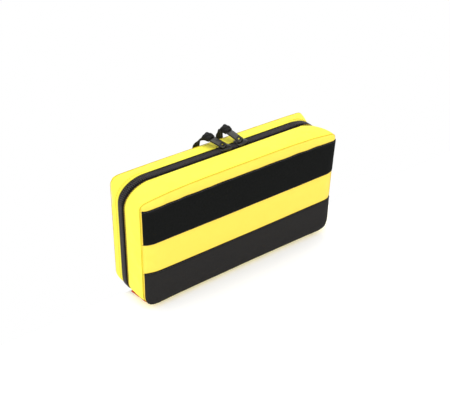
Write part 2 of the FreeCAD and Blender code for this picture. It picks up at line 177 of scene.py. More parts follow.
def weave_group() -> Tree:
    """A plain weave: threads over and under each other, and slow unevenness in the cloth.

    Returns:
        The group.
    """
    tree = new_group(
        "weave", {"Threads per metre": 2400.0, "Slub": 0.25},
        {"Height": "NodeSocketFloat", "Unevenness": "NodeSocketFloat"},
    )
    source, out = tree.nodes["IN"].outputs, tree.nodes["OUT"].inputs
    split = tree.nodes.new("ShaderNodeSeparateXYZ")
    tree.links.new(source["Vector"], split.inputs[0])
    turns = math_node(tree, "MULTIPLY", source["Threads per metre"], math.pi)
    waves = [math_node(tree, "SINE", math_node(tree, "MULTIPLY", split.outputs[axis], turns))
             for axis in (0, 1)]
    checks = math_node(tree, "MULTIPLY", *waves)
    ridges = [math_node(tree, "ABSOLUTE", wave) for wave in waves]
    over = math_node(tree, "MULTIPLY", math_node(tree, "GREATER_THAN", checks, 0.0), ridges[0])
    under = math_node(tree, "MULTIPLY", math_node(tree, "LESS_THAN", checks, 0.0), ridges[1])
    threads = math_node(tree, "ADD", over, under)
    slow = noise_node(tree, source["Vector"], 60.0)
    slub = math_node(tree, "MULTIPLY", slow, source["Slub"])
    tree.links.new(math_node(tree, "ADD", threads, slub), out["Height"])
    tree.links.new(slow, out["Unevenness"])
    return tree


def rib_group() -> Tree:
    """Parallel cords across a tape or round a roll, with a fine cross thread.

    Returns:
        The group.
    """
    tree = new_group(
        "ribs", {"Ribs per metre": 900.0, "Cross per metre": 2500.0, "Cross share": 0.3},
        {"Height": "NodeSocketFloat"},
    )
    source, out = tree.nodes["IN"].outputs, tree.nodes["OUT"].inputs
    split = tree.nodes.new("ShaderNodeSeparateXYZ")
    tree.links.new(source["Vector"], split.inputs[0])
    heights = []
    for axis, label in ((0, "Ribs per metre"), (1, "Cross per metre")):
        turns = math_node(tree, "MULTIPLY", source[label], math.pi)
        wave = math_node(tree, "SINE", math_node(tree, "MULTIPLY", split.outputs[axis], turns))
        heights.append(math_node(tree, "ABSOLUTE", wave))
    cross = math_node(tree, "MULTIPLY", heights[1], source["Cross share"])
    tree.links.new(math_node(tree, "ADD", heights[0], cross), out["Height"])
    return tree


def pile_group() -> Tree:
    """Napped loops: fine hairs in clumps, lying a little more one way than the other.

    Returns:
        The group.
    """
    tree = new_group(
        "pile", {"Loops per metre": 2600.0, "Clumps per metre": 420.0},
        {"Height": "NodeSocketFloat", "Clump": "NodeSocketFloat"},
    )
    source, out = tree.nodes["IN"].outputs, tree.nodes["OUT"].inputs
    stretch = tree.nodes.new("ShaderNodeMapping")
    stretch.inputs["Scale"].default_value = (1.0, 0.45, 1.0)
    tree.links.new(source["Vector"], stretch.inputs["Vector"])
    fine = noise_node(tree, stretch.outputs[0], source["Loops per metre"], detail=4.0, roughness=0.7)
    clump = noise_node(tree, source["Vector"], source["Clumps per metre"], detail=3.0)
    fine_share = math_node(tree, "MULTIPLY", fine, 0.65)
    tree.links.new(math_node(tree, "ADD", fine_share, math_node(tree, "MULTIPLY", clump, 0.5)), out["Height"])
    tree.links.new(clump, out["Clump"])
    return tree


def wear_group() -> Tree:
    """Edges rubbed bare, fine scratches and a cloudy handling film on a plated part.

    Returns:
        The group.
    """
    tree = new_group(
        "wear", {"Edge": 0.6, "Scratches per metre": 900.0},
        {"Bare": "NodeSocketFloat", "Film": "NodeSocketFloat", "Height": "NodeSocketFloat"},
    )
    source, out = tree.nodes["IN"].outputs, tree.nodes["OUT"].inputs
    geometry = tree.nodes.new("ShaderNodeNewGeometry")
    over = math_node(tree, "SUBTRACT", geometry.outputs["Pointiness"], 0.52)
    sharp = math_node(tree, "MULTIPLY", over, 9.0, clamp=True)
    patchy = noise_node(tree, source["Vector"], 700.0)
    rubbed = math_node(tree, "MULTIPLY", sharp, patchy)
    tree.links.new(math_node(tree, "MULTIPLY", rubbed, source["Edge"], clamp=True), out["Bare"])
    stretch = tree.nodes.new("ShaderNodeMapping")
    stretch.inputs["Scale"].default_value = (1.0, 0.08, 1.0)
    tree.links.new(source["Vector"], stretch.inputs["Vector"])
    scratch = noise_node(tree, stretch.outputs[0], source["Scratches per metre"], detail=2.0)
    tree.links.new(scratch, out["Height"])
    tree.links.new(noise_node(tree, source["Vector"], 160.0), out["Film"])
    return tree


class Effects:
    """The shader groups, each built once and shared by the finishes."""

    _made: dict[str, Tree] = {}
    _makers = {"weave": weave_group, "ribs": rib_group, "pile": pile_group, "wear": wear_group}

    @classmethod
    def get(cls, name: str) -> Tree:
        """Give a shared group, built on its first use.

        Args:
            name: the effect's name.

        Returns:
            The group.
        """
        if name not in cls._made:
            cls._made[name] = cls._makers[name]()
        return cls._made[name]


@dataclass(frozen=True)
class Finish:
    """One surface finish.

    Attributes:
        name: the material's name.
        color: its linear base colour.
        second: the colour that its variation leans to.
        effect: the shared shader group that shapes its surface.
        settings: values for that group's inputs.
        rough: lowest and highest roughness.
        bump: the depth of the surface relief, in metres.
        metallic: 1 for bare metal.
        sheen: the strength of a cloth's sheen.
        coat: the strength of a clear coat.
        mapped: True where the pattern follows the piece's own UV map.
        alpha: below 1 for clear film.
        specular: how strong its highlights are, from 0 to 1.
    """

    name: str
    color: Point
    second: Point
    effect: str = "weave"
    settings: tuple[tuple[str, float], ...] = ()
    rough: tuple[float, float] = (0.6, 0.8)
    bump: float = 0.00008
    metallic: float = 0.0
    sheen: float = 0.0
    coat: float = 0.0
    mapped: bool = True
    alpha: float = 1.0
    specular: float = 0.5

    def material(self) -> bpy.types.Material:
        """Give the finish's material, built on its first use.

        Returns:
            The material.
        """
        if self.name in bpy.data.materials:
            return bpy.data.materials[self.name]
        material = bpy.data.materials.new(self.name)
        material.use_nodes = True
        material.diffuse_color = (*self.color, 1.0)
        tree = material.node_tree
        shader = tree.nodes["Principled BSDF"]
        place = tree.nodes.new("ShaderNodeTexCoord").outputs["UV" if self.mapped else "Object"]
        group = tree.nodes.new("ShaderNodeGroup")
        group.node_tree = Effects.get(self.effect)
        tree.links.new(place, group.inputs["Vector"])
        for label, value in self.settings:
            group.inputs[label].default_value = value
        height = group.outputs["Height"]
        spread = {"weave": "Unevenness", "pile": "Clump", "wear": "Bare"}.get(self.effect, "Height")
        mixed = tree.nodes.new("ShaderNodeMix")
        mixed.data_type = "RGBA"
        mixed.inputs["A"].default_value, mixed.inputs["B"].default_value = (*self.color, 1), (*self.second, 1)
        tree.links.new(group.outputs[spread], mixed.inputs["Factor"])
        tree.links.new(mixed.outputs["Result"], shader.inputs["Base Color"])
        spread_rough = tree.nodes.new("ShaderNodeMapRange")
        spread_rough.inputs["To Min"].default_value, spread_rough.inputs["To Max"].default_value = self.rough
        film = group.outputs["Film"] if self.effect == "wear" else height
        tree.links.new(film, spread_rough.inputs["Value"])
        tree.links.new(spread_rough.outputs[0], shader.inputs["Roughness"])
        bump = tree.nodes.new("ShaderNodeBump")
        bump.inputs["Distance"].default_value = self.bump
        bump.inputs["Strength"].default_value = 1.0
        tree.links.new(height, bump.inputs["Height"])
        tree.links.new(bump.outputs[0], shader.inputs["Normal"])
        shader.inputs["Metallic"].default_value = self.metallic
        shader.inputs["Sheen Weight"].default_value = self.sheen
        shader.inputs["Sheen Roughness"].default_value = 0.4
        shader.inputs["Coat Weight"].default_value = self.coat
        shader.inputs["Alpha"].default_value = self.alpha
        shader.inputs["Specular IOR Level"].default_value = self.specular
        return material


YELLOW = Finish("yellow_coated_weave", (0.98, 0.90, 0.085), (0.98, 0.86, 0.07), settings=(("Slub", 0.3),),
                rough=(0.5, 0.65), bump=0.00003, specular=0.3)
# The same yellow cloth with painted shade: darker and more golden, for the front face that gets less light.
YELLOW_PAINTED_SHADE = Finish("golden_coated_weave", (0.98, 0.735, 0.09), (0.98, 0.69, 0.075), settings=(("Slub", 0.3),),
                rough=(0.5, 0.65), bump=0.00003, specular=0.3)
LINING = Finish("charcoal_lining_weave", (0.030, 0.030, 0.033), (0.045, 0.045, 0.048), rough=(0.6, 0.8))
BINDING = Finish("black_grosgrain", (0.003, 0.003, 0.003), (0.009, 0.009, 0.009), "ribs",
                 rough=(0.7, 0.9), specular=0.07)
LOOP_PILE = Finish("black_loop_pile", (0.012, 0.0115, 0.011), (0.026, 0.0245, 0.024), "pile",
                   rough=(0.85, 1.0), bump=0.0005, specular=0.12)
# The same loop tape with painted shade: darker, for the upper strip, which gets less light than the lower
# one.
LOOP_PILE_PAINTED_SHADE = Finish("deep_black_loop_pile", (0.003, 0.0035, 0.0033), (0.0115, 0.012, 0.0115), "pile",
                   rough=(0.9, 1.0), bump=0.0005, specular=0.05)
ZIP_TAPE = Finish("black_zip_tape", (0.003, 0.003, 0.003), (0.010, 0.010, 0.010), "ribs",
                  (("Ribs per metre", 1500.0), ("Cross per metre", 2600.0)), (0.7, 0.9), 0.0001,
                  specular=0.08)
COIL = Finish("black_nylon_coil", (0.034, 0.027, 0.032), (0.15, 0.13, 0.14), "wear",
              (("Edge", 0.6),), (0.3, 0.5), 0.00003, mapped=False, specular=0.5)
GUNMETAL = Finish("gunmetal_plate", (0.022, 0.022, 0.020), (0.30, 0.29, 0.27), "wear",
                  (("Edge", 0.8),), (0.3, 0.5), 0.00002, metallic=0.6, mapped=False, specular=0.4)
SLIDER_METAL = Finish("dark_slider_metal", (0.010, 0.010, 0.010), (0.30, 0.29, 0.28), "wear",
                      (("Edge", 1.0),), (0.18, 0.32), 0.00002, metallic=0.85, mapped=False, specular=0.5)
PULL_TAPE = Finish("black_pull_tape", (0.004, 0.004, 0.004), (0.012, 0.012, 0.012), "ribs",
                   (("Ribs per metre", 800.0), ("Cross per metre", 2200.0)), (0.55, 0.8), 0.00015,
                   specular=0.2)
# Painted shade: a darker golden colour for the thin cord that stands for the shade in each panel's seam
# crease.
SEAM_CREASE_SHADE = Finish("golden_seam_cord", (0.74, 0.58, 0.035), (0.62, 0.48, 0.025), "ribs",
                   (("Ribs per metre", 2500.0),), (0.6, 0.8), 0.00004, specular=0.1)
RED_TAPE = Finish("red_woven_tape", (0.62, 0.02, 0.02), (0.45, 0.012, 0.014), "ribs",
                  (("Ribs per metre", 1100.0),), (0.55, 0.8), 0.0001)
YELLOW_THREAD = Finish("yellow_thread", (0.85, 0.62, 0.04), (0.75, 0.5, 0.03), "ribs",
                       (("Ribs per metre", 3500.0),), (0.5, 0.7), 0.00003, mapped=False)
BLACK_THREAD = Finish("black_thread", (0.02, 0.02, 0.02), (0.05, 0.05, 0.05), "ribs",
                      (("Ribs per metre", 3500.0),), (0.45, 0.7), 0.00003, mapped=False)
NET = Finish("black_pocket_net", (0.016, 0.016, 0.017), (0.03, 0.03, 0.03), "ribs",
             (("Ribs per metre", 3000.0),), (0.5, 0.75), 0.00003, mapped=False)
ELASTIC = Finish("black_elastic", (0.016, 0.016, 0.017), (0.045, 0.045, 0.047), "ribs",
                 (("Ribs per metre", 700.0), ("Cross per metre", 1400.0)), (0.55, 0.8), 0.00018)
CREPE = Finish("crepe_bandage", (0.72, 0.60, 0.43), (0.83, 0.72, 0.56), "weave",
               (("Threads per metre", 1500.0), ("Slub", 1.2)), (0.8, 0.95), 0.00022, sheen=0.2)
GAUZE = Finish("white_gauze", (0.86, 0.86, 0.83), (0.74, 0.74, 0.71), "weave",
               (("Threads per metre", 900.0), ("Slub", 0.5)), (0.85, 0.98), 0.0002, sheen=0.2)
PLASTER_TAPE = Finish("adhesive_tape", (0.84, 0.80, 0.72), (0.76, 0.71, 0.62), "weave",
                      (("Threads per metre", 1800.0), ("Slub", 0.6)), (0.45, 0.65), 0.00006)
BOARD = Finish("board_core", (0.50, 0.40, 0.28), (0.40, 0.31, 0.21), "pile",
               (("Loops per metre", 1500.0), ("Clumps per metre", 200.0)), (0.8, 0.95), 0.00008)
STEEL = Finish("brushed_steel", (0.62, 0.62, 0.63), (0.78, 0.78, 0.79), "wear",
               (("Edge", 0.3), ("Scratches per metre", 1400.0)), (0.2, 0.38), 0.00001, metallic=1.0,
               mapped=False)
PAPER = Finish("sachet_paper", (0.82, 0.82, 0.79), (0.74, 0.75, 0.73), "pile",
               (("Loops per metre", 1300.0), ("Clumps per metre", 90.0)), (0.65, 0.85), 0.00006, mapped=False)
FILM = Finish("sachet_film", (0.52, 0.66, 0.74), (0.62, 0.74, 0.80), "pile",
              (("Loops per metre", 240.0), ("Clumps per metre", 60.0)), (0.12, 0.3), 0.00025, coat=0.4,
              mapped=False)


# ---------------------------------------------------------------- mesh helpers


def make_piece(name: str, points: Array, faces: list[tuple[int, ...]], finish: Finish,
               uv: Array | None = None, smooth: bool = True) -> Piece:
    """Make a mesh object at the origin from points in metres.

    Args:
        name: the piece's name.
        points: vertex places, one row each.
        faces: vertex numbers of each face, wound outwards.
        finish: what it is finished in.
        uv: one (u, v) in metres for each vertex, where the pattern follows the surface.
        smooth: True for smooth shading.

    Returns:
        The object, linked to the scene.
    """
    mesh = bpy.data.meshes.new(name)
    mesh.from_pydata([tuple(map(float, p)) for p in points], [], faces)
    if uv is not None:
        layer = mesh.uv_layers.new(name="UVMap")
        numbers = np.empty(len(mesh.loops), int)
        mesh.loops.foreach_get("vertex_index", numbers)
        layer.data.foreach_set("uv", np.asarray(uv, float)[numbers].ravel())
    mesh.materials.append(finish.material())
    if smooth:
        mesh.shade_smooth()
    else:
        mesh.shade_flat()
    piece = bpy.data.objects.new(name, mesh)
    bpy.context.collection.objects.link(piece)
    return piece


def grid_faces(rows: int, columns: int, closed: bool = False, start: int = 0) -> list[tuple[int, ...]]:
    """Quads of a grid of rows by columns points, closed round the columns where asked.

    Args:
        rows: rows of points.
        columns: points in each.
        closed: True where the last column meets the first.
        start: the first point number.

    Returns:
        The faces, wound one way.
    """
    faces = []
    for r in range(rows - 1):
        for c in range(columns if closed else columns - 1):
            d = (c + 1) % columns
            a = start + r * columns
            faces.append((a + c, a + d, a + columns + d, a + columns + c))
    return faces


def face_outwards(piece: Piece) -> Piece:
    """Merge doubles and turn every face of a closed mesh outwards.

    Args:
        piece: the closed piece.

    Returns:
        The same piece.
    """
    work = bmesh.new()
    work.from_mesh(piece.data)
    bmesh.ops.remove_doubles(work, verts=work.verts, dist=1e-6)
    bmesh.ops.recalc_face_normals(work, faces=work.faces)
    work.to_mesh(piece.data)
    work.free()
    return piece


def close_up(piece: Piece) -> None:
    """Drop the loose points of a closed mesh and turn its faces outwards.

    Args:
        piece: the closed piece.
    """
    work = bmesh.new()
    work.from_mesh(piece.data)
    bmesh.ops.delete(work, geom=[v for v in work.verts if not v.link_faces], context="VERTS")
    bmesh.ops.recalc_face_normals(work, faces=work.faces)
    work.to_mesh(piece.data)
    work.free()


def apply_modifiers(piece: Piece) -> Piece:
    """Replace a piece's mesh with what its modifiers make of it.

    Args:
        piece: the piece.

    Returns:
        The same piece.
    """
    mesh = bpy.data.meshes.new_from_object(piece.evaluated_get(bpy.context.evaluated_depsgraph_get()))
    piece.modifiers.clear()
    old, piece.data = piece.data, mesh
    bpy.data.meshes.remove(old)
    return piece


def subdivide(piece: Piece, levels: int = 1) -> Piece:
    """Smooth a piece with subdivision surfaces.

    Args:
        piece: the piece.
        levels: how often it is divided.

    Returns:
        The same piece.
    """
    surface = piece.modifiers.new("smooth", "SUBSURF")
    surface.levels = surface.render_levels = levels
    return apply_modifiers(piece)


def bevel(piece: Piece, width: float, segments: int = 2, angle: float = 35.0) -> Piece:
    """Round the sharp edges of a piece.

    Args:
        piece: the piece.
        width: how wide the rounding is.
        segments: its steps.
        angle: the least edge angle, in degrees.

    Returns:
        The same piece.
    """
    edge = piece.modifiers.new("edges", "BEVEL")
    edge.width, edge.segments, edge.limit_method = width, segments, "ANGLE"
    edge.angle_limit = math.radians(angle)
    edge.harden_normals = False
    return apply_modifiers(piece)


def join(name: str, *pieces: Piece) -> Piece:
    """Join pieces into one, keeping each one's materials.

    Args:
        name: the joined piece's name.
        pieces: the pieces.

    Returns:
        The joined piece.
    """
    first = pieces[0]
    work = bmesh.new()
    slots: list[bpy.types.Material] = []
    for piece in pieces:
        mesh = piece.data
        numbers = []
        for material in mesh.materials:
            if material not in slots:
                slots.append(material)
            numbers.append(slots.index(material))
        before = len(work.faces)
        work.from_mesh(mesh)
        work.faces.ensure_lookup_table()
        for f in work.faces[before:]:
            f.material_index = numbers[f.material_index] if numbers else 0
    work.to_mesh(first.data)
    work.free()
    first.data.materials.clear()
    for material in slots:
        first.data.materials.append(material)
    for piece in pieces[1:]:
        bpy.data.objects.remove(piece)
    first.name = first.data.name = name
    return first


def smooth_path(points: list[Point] | Array, count: int, closed: bool = False) -> Array:
    """Evenly spaced points along a smooth curve through a few chosen ones.

    Args:
        points: the chosen points.
        count: how many points to give.
        closed: True for a loop.

    Returns:
        The points, one row each.
    """
    p = np.asarray(points, float)
    n = len(p)
    dense = []
    for i in range(n if closed else n - 1):
        a, b, c, d = (p[k % n] if closed else p[min(max(k, 0), n - 1)] for k in (i - 1, i, i + 1, i + 2))
        for s in np.linspace(0, 1, 24, endpoint=False):
            dense.append(0.5 * (2 * b + (c - a) * s + (2 * a - 5 * b + 4 * c - d) * s**2
                                + (3 * b - a - 3 * c + d) * s**3))
    dense.append(p[0] if closed else p[-1])
    line = np.array(dense)
    along = run_along(line)
    stops = np.linspace(0, along[-1], count, endpoint=not closed)
    return np.stack([np.interp(stops, along, line[:, k]) for k in range(3)], -1)


def normed(vectors: Array) -> Array:
    """Rows of vectors brought to length 1."""
    return vectors / np.linalg.norm(vectors, axis=-1)[..., None]


def run_along(path: Array) -> Array:
    """How far along a path each of its points lies."""
    return np.concatenate([[0], np.cumsum(np.linalg.norm(np.diff(path, axis=0), axis=1))])


def facing_front(place: Vector) -> Matrix:
    """Axes at a place whose X and Y lie in the plane of the front."""
    return Matrix.Translation(place) @ Matrix.Rotation(math.radians(90), 4, "X")


def ribbon(name: str, path: Array, across: Array, width: float | Array, thickness: float, finish: Finish,
           columns: int = 7) -> Piece:
    """A woven tape along a path, with rounded selvedges.

    Args:
        name: the piece's name.
        path: its middle line, one point a row.
        across: the direction of its width, one for all or one a row.
        width: its width, one for all or one a row.
        thickness: its thickness.
        finish: what it is made of.
        columns: points across each face.

    Returns:
        The closed tape.
    """
    across = normed(np.broadcast_to(np.asarray(across, float), path.shape))
    along = normed(np.gradient(path, axis=0))
    across = normed(across - along * np.sum(along * across, axis=1)[:, None])
    up = np.cross(along, across)
    share = np.linspace(-1, 1, columns)
    widths = np.broadcast_to(np.asarray(width, float), len(path))
    profile = [(s / 2, math.sqrt(max(0.0, 1 - abs(s) ** 6)) * thickness / 2) for s in share]
    profile += [(a, -b) for a, b in profile[-2:0:-1]]
    length = run_along(path)
    points, uv = [], []
    for i, middle in enumerate(path):
        for a, b in profile:
            points.append(middle + across[i] * a * widths[i] + up[i] * b)
            uv.append((length[i], a * widths[i]))
    ring = len(profile)
    faces = grid_faces(len(path), ring, closed=True)
    last = (len(path) - 1) * ring
    faces += [tuple(range(ring))[::-1], tuple(range(last, last + ring))]
    return face_outwards(make_piece(name, np.array(points), faces, finish, np.array(uv)))


def slab(name: str, outline: list[tuple[float, float]], low: float, high: float, finish: Finish,
         place: Matrix | None = None, edge: float = 0.0003) -> Piece:
    """A plate with a drawn outline and rounded edges.

    Args:
        name: the piece's name.
        outline: its corners in its own plane.
        low: its lower face.
        high: its upper face.
        finish: what it is finished in.
        place: where its own axes stand.
        edge: the radius of its edges.

    Returns:
        The closed plate.
    """
    count = len(outline)
    points = [Vector((x, y, z)) for z in (low, high) for x, y in outline]
    if place is not None:
        points = [place @ p for p in points]
    faces = [tuple(range(count))[::-1], tuple(range(count, 2 * count))]
    faces += [(i, (i + 1) % count, count + (i + 1) % count, count + i) for i in range(count)]
    piece = face_outwards(make_piece(name, np.array(points), faces, finish))
    return bevel(piece, edge) if edge else piece


def round_bar(name: str, path: Array, radius: float, finish: Finish, sides: int = 12) -> Piece:
    """A round bar or wire along a path, with domed ends.

    Args:
        name: the piece's name.
        path: its middle line.
        radius: its radius.
        finish: what it is made of.
        sides: points round it.

    Returns:
        The closed bar.
    """
    along = normed(np.gradient(path, axis=0))
    side = np.cross(along[0], (0.3, 0.2, 0.93))
    points: list[Array] = []
    shares = [0.35, 0.8] + [1.0] * len(path) + [0.8, 0.35]
    rows = [path[0] - along[0] * radius * 0.5, path[0] - along[0] * radius * 0.3, *path,
            path[-1] + along[-1] * radius * 0.3, path[-1] + along[-1] * radius * 0.5]
    turns = [along[0], along[0], *along, along[-1], along[-1]]
    for middle, ahead, share in zip(rows, turns, shares):
        side = side - ahead * side.dot(ahead)
        side /= np.linalg.norm(side)
        other = np.cross(ahead, side)
        for k in range(sides):
            a = 2 * math.pi * k / sides
            points.append(middle + (side * math.cos(a) + other * math.sin(a)) * radius * share)
    faces = grid_faces(len(rows), sides, closed=True)
    last = (len(rows) - 1) * sides
    faces += [tuple(range(sides))[::-1], tuple(range(last, last + sides))]
    return face_outwards(make_piece(name, np.array(points), faces, finish))


# ---------------------------------------------------------------- what repeats along a path


def repeat_tree() -> Tree:
    """Geometry nodes that set a unit along a path at an even spacing, upright on the path's own normals.

    Returns:
        The tree.
    """
    tree = bpy.data.node_groups.new("repeat_along_path", "GeometryNodeTree")
    face = tree.interface
    face.new_socket("Path", in_out="INPUT", socket_type="NodeSocketGeometry")
    face.new_socket("Unit", in_out="INPUT", socket_type="NodeSocketObject")
    face.new_socket("Spacing", in_out="INPUT", socket_type="NodeSocketFloat")
    face.new_socket("Sway", in_out="INPUT", socket_type="NodeSocketFloat")
    face.new_socket("Seed", in_out="INPUT", socket_type="NodeSocketInt")
    face.new_socket("Finish", in_out="INPUT", socket_type="NodeSocketMaterial")
    face.new_socket("Mesh", in_out="OUTPUT", socket_type="NodeSocketGeometry")
    add, link = tree.nodes.new, tree.links.new
    source, out = add("NodeGroupInput").outputs, add("NodeGroupOutput").inputs
    curve, spaced = add("GeometryNodeMeshToCurve"), add("GeometryNodeResampleCurve")
    spaced.mode = "LENGTH"
    link(source["Path"], curve.inputs[0])
    link(curve.outputs[0], spaced.inputs["Curve"])
    link(source["Spacing"], spaced.inputs["Length"])
    normal = add("GeometryNodeInputNamedAttribute")
    normal.data_type = "FLOAT_VECTOR"
    normal.inputs["Name"].default_value = "outward"
    first, second = add("FunctionNodeAlignRotationToVector"), add("FunctionNodeAlignRotationToVector")
    first.axis, second.axis, second.pivot_axis = "X", "Z", "X"
    link(add("GeometryNodeInputTangent").outputs[0], first.inputs["Vector"])
    link(first.outputs[0], second.inputs["Rotation"])
    link(normal.outputs["Attribute"], second.inputs["Vector"])
    sway = add("FunctionNodeRandomValue")
    sway.data_type = "FLOAT"
    negative = add("ShaderNodeMath")
    negative.operation = "MULTIPLY"
    negative.inputs[1].default_value = -1.0
    link(source["Sway"], negative.inputs[0])
    floats = [s for s in sway.inputs if s.type == "VALUE"]
    link(negative.outputs[0], floats[0])
    link(source["Sway"], floats[1])
    link(source["Seed"], sway.inputs["Seed"])
    angle = add("ShaderNodeCombineXYZ")
    link(next(s for s in sway.outputs if s.type == "VALUE"), angle.inputs["Z"])
    turn = add("FunctionNodeRotateRotation")
    turn.rotation_space = "LOCAL"
    euler = add("FunctionNodeEulerToRotation")
    link(angle.outputs[0], euler.inputs[0])
    link(second.outputs[0], turn.inputs["Rotation"])
    link(euler.outputs[0], turn.inputs["Rotate By"])
    unit, placed = add("GeometryNodeObjectInfo"), add("GeometryNodeInstanceOnPoints")
    link(source["Unit"], unit.inputs["Object"])
    link(spaced.outputs[0], placed.inputs["Points"])
    link(unit.outputs["Geometry"], placed.inputs["Instance"])
    link(turn.outputs[0], placed.inputs["Rotation"])
    real, dress = add("GeometryNodeRealizeInstances"), add("GeometryNodeSetMaterial")
    link(placed.outputs[0], real.inputs[0])
    link(real.outputs[0], dress.inputs["Geometry"])
    link(source["Finish"], dress.inputs["Material"])
    link(dress.outputs[0], out["Mesh"])
    return tree


@dataclass
class Repeater:
    """Sets copies of a small unit along a path, such as stitches or coil turns.

    Attributes:
        spacing: the distance from one copy to the next.
        finish: what the copies are finished in.
        sway: the most that a copy is turned by chance, in radians.
        seed: the seed of that chance.
    """

    spacing: float
    finish: Finish
    sway: float = 0.0
    seed: int = 1
    _tree: Tree | None = field(default=None, repr=False)

    def along(self, name: str, unit: Piece, paths: list[tuple[Array, Array]]) -> Piece:
        """Make one plain mesh of all the copies.

        Args:
            name: the piece's name.
            unit: the unit, with X along the path and Z outwards; it is removed afterwards.
            paths: each path's points and its outward directions.

        Returns:
            The joined copies.
        """
        mesh = bpy.data.meshes.new(name)
        points, edges, outward = [], [], []
        for line, normals in paths:
            start = len(points)
            points += [tuple(p) for p in line]
            outward += [tuple(n) for n in normals]
            edges += [(start + i, start + i + 1) for i in range(len(line) - 1)]
        mesh.from_pydata(points, edges, [])
        mesh.attributes.new("outward", "FLOAT_VECTOR", "POINT").data.foreach_set(
            "vector", np.array(outward, float).ravel())
        piece = bpy.data.objects.new(name, mesh)
        bpy.context.collection.objects.link(piece)
        tree = bpy.data.node_groups.get("repeat_along_path") or repeat_tree()
        modifier = piece.modifiers.new("repeat", "NODES")
        modifier.node_group = tree
        names = {item.name: item.identifier for item in tree.interface.items_tree if item.in_out == "INPUT"}
        modifier[names["Unit"]] = unit
        modifier[names["Spacing"]] = self.spacing
        modifier[names["Sway"]] = self.sway
        modifier[names["Seed"]] = self.seed
        modifier[names["Finish"]] = self.finish.material()
        apply_modifiers(piece)
        piece.data.name = name
        bpy.data.objects.remove(unit)
        piece.data.shade_smooth()
        return piece


def capsule(length: float, width: float, height: float, sides: int = 6, rings: int = 4,
            across: bool = False, arch: float = 0.0) -> Piece:
    """A small rounded bar along X, or along Y where it lies across, arched up in its middle.

    Args:
        length: its length.
        width: its width.
        height: its height.
        sides: points round it.
        rings: steps along it.
        across: True to lie along Y.
        arch: how far its middle is raised.

    Returns:
        The unit.
    """
    points, turn = [], np.linspace(0, math.pi, rings + 1)
    for a in turn:
        reach = -math.copysign(abs(math.cos(a)) ** 0.45, math.cos(a)) * length / 2
        share = max(math.sin(a), 0.0) ** 0.6
        lift = arch * (1 - (2 * reach / length) ** 2)
        for k in range(sides):
            b = 2 * math.pi * k / sides
            p = (reach, math.cos(b) * width / 2 * share, math.sin(b) * height / 2 * share + lift)
            points.append((p[1], p[0], p[2]) if across else p)
    faces = grid_faces(rings + 1, sides, closed=True)
    return face_outwards(make_piece("unit", np.array(points), faces, BLACK_THREAD))


# ---------------------------------------------------------------- the pouch's outline


@dataclass(frozen=True)
class Outline:
    """The pouch's outline seen from the front, at one distance from front to rear.

    Attributes:
        half: half its width.
        tall: its height.
        across: how far each top corner reaches along the top.
        down: how far each top corner reaches down the side.
        low: the radius of the lower corners.
        droop: how far the top sinks towards its corners.
        lift: how far the bottom is drawn up.
    """

    half: float
    tall: float
    across: float
    down: float
    low: float
    droop: float = 0.0
    lift: float = 0.0

    def mixed(self, other: Outline, share: float) -> Outline:
        """The outline part of the way to another."""
        names = ("half", "tall", "across", "down", "low", "droop", "lift")
        return Outline(*[getattr(self, n) * (1 - share) + getattr(other, n) * share for n in names])

    def inset(self, by: float) -> Outline:
        """The outline moved in all round, with its own corners kept concentric."""
        return Outline(self.half - by, self.tall - by, max(self.across - by, MM), max(self.down - by, MM),
                       max(self.low - by, MM), self.droop, self.lift)

    def drawn(self, x: Array, z: Array) -> Array:
        """The height of points once the top has sunk and the bottom is drawn up."""
        sunk = self.sink(x) * np.clip((z - self.tall / 2) / (self.tall / 2), 0, 1)
        return z - sunk + self.lift * np.clip(1 - z / (30 * MM), 0, 1)

    def sink(self, x: Array) -> Array:
        """How far the top has sunk at x."""
        return self.droop * np.abs(x / self.half) ** 4

    def loop(self, floor: float = 0.0) -> tuple[Array, Array]:
        """Points round the outline from the middle of the bottom, up the left side and over the top.

        Args:
            floor: the height of its flat bottom.

        Returns:
            The (x, z) points, and their outward directions.
        """
        quarter = np.linspace(0, math.pi / 2, CORNER_STEPS + 1)[1:]
        x, z = [], []
        h, low = self.half, self.low
        bottom = np.linspace(0, -(h - low), BOTTOM_STEPS + 1)
        x += list(bottom)
        z += [floor] * len(bottom)
        x += list(-(h - low) - low * np.sin(quarter))
        z += list(floor + low - low * np.cos(quarter))
        side = np.linspace(floor + low, self.tall - self.down, SIDE_STEPS + 1)[1:]
        x += [-h] * len(side)
        z += list(side)
        x += list(-h + self.across - self.across * np.cos(quarter))
        z += list(self.tall - self.down + self.down * np.sin(quarter))
        top = np.linspace(-(h - self.across), 0, BOTTOM_STEPS + 1)[1:]
        x += list(top)
        z += [self.tall] * len(top)
        x, z = np.array(x), np.array(z)
        x = np.concatenate([x, -x[-2:0:-1]])
        z = np.concatenate([z, z[-2:0:-1]])
        points = np.stack([x, self.drawn(x, z)], -1)
        ahead = np.roll(points, -1, axis=0) - np.roll(points, 1, axis=0)
        outward = np.stack([-ahead[:, 1], ahead[:, 0]], -1)
        return points, normed(outward)

    def squeeze(self, x: Array, z: Array) -> tuple[Array, Array]:
        """Move points of the full rectangle so that its border lies on the rounded outline.

        Args:
            x: their x.
            z: their z.

        Returns:
            The moved x and z.
        """
        top = z > self.tall / 2
        a = np.where(top, self.across, self.low)
        b = np.where(top, self.down, self.low)
        s = np.clip((np.abs(x) - (self.half - a)) / a, 0, 1)
        t = np.clip((np.where(top, z - (self.tall - b), b - z)) / b, 0, 1)
        s2, t2 = s * np.sqrt(1 - t**2 / 2), t * np.sqrt(1 - s**2 / 2)
        x2 = np.where((s > 0) & (t > 0), np.sign(x) * (self.half - a + a * s2), x)
        z2 = np.where((s > 0) & (t > 0), np.where(top, self.tall - b + b * t2, b - b * t2), z)
        return x2, self.drawn(x2, z2)


BOTTOM_STEPS, SIDE_STEPS, CORNER_STEPS = 40, 30, 18


def cad(node: str) -> tuple[Vector, Vector]:
    """The lowest and highest corner of a CAD node at rest."""
    low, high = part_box(node)
    return Vector(low), Vector(high)


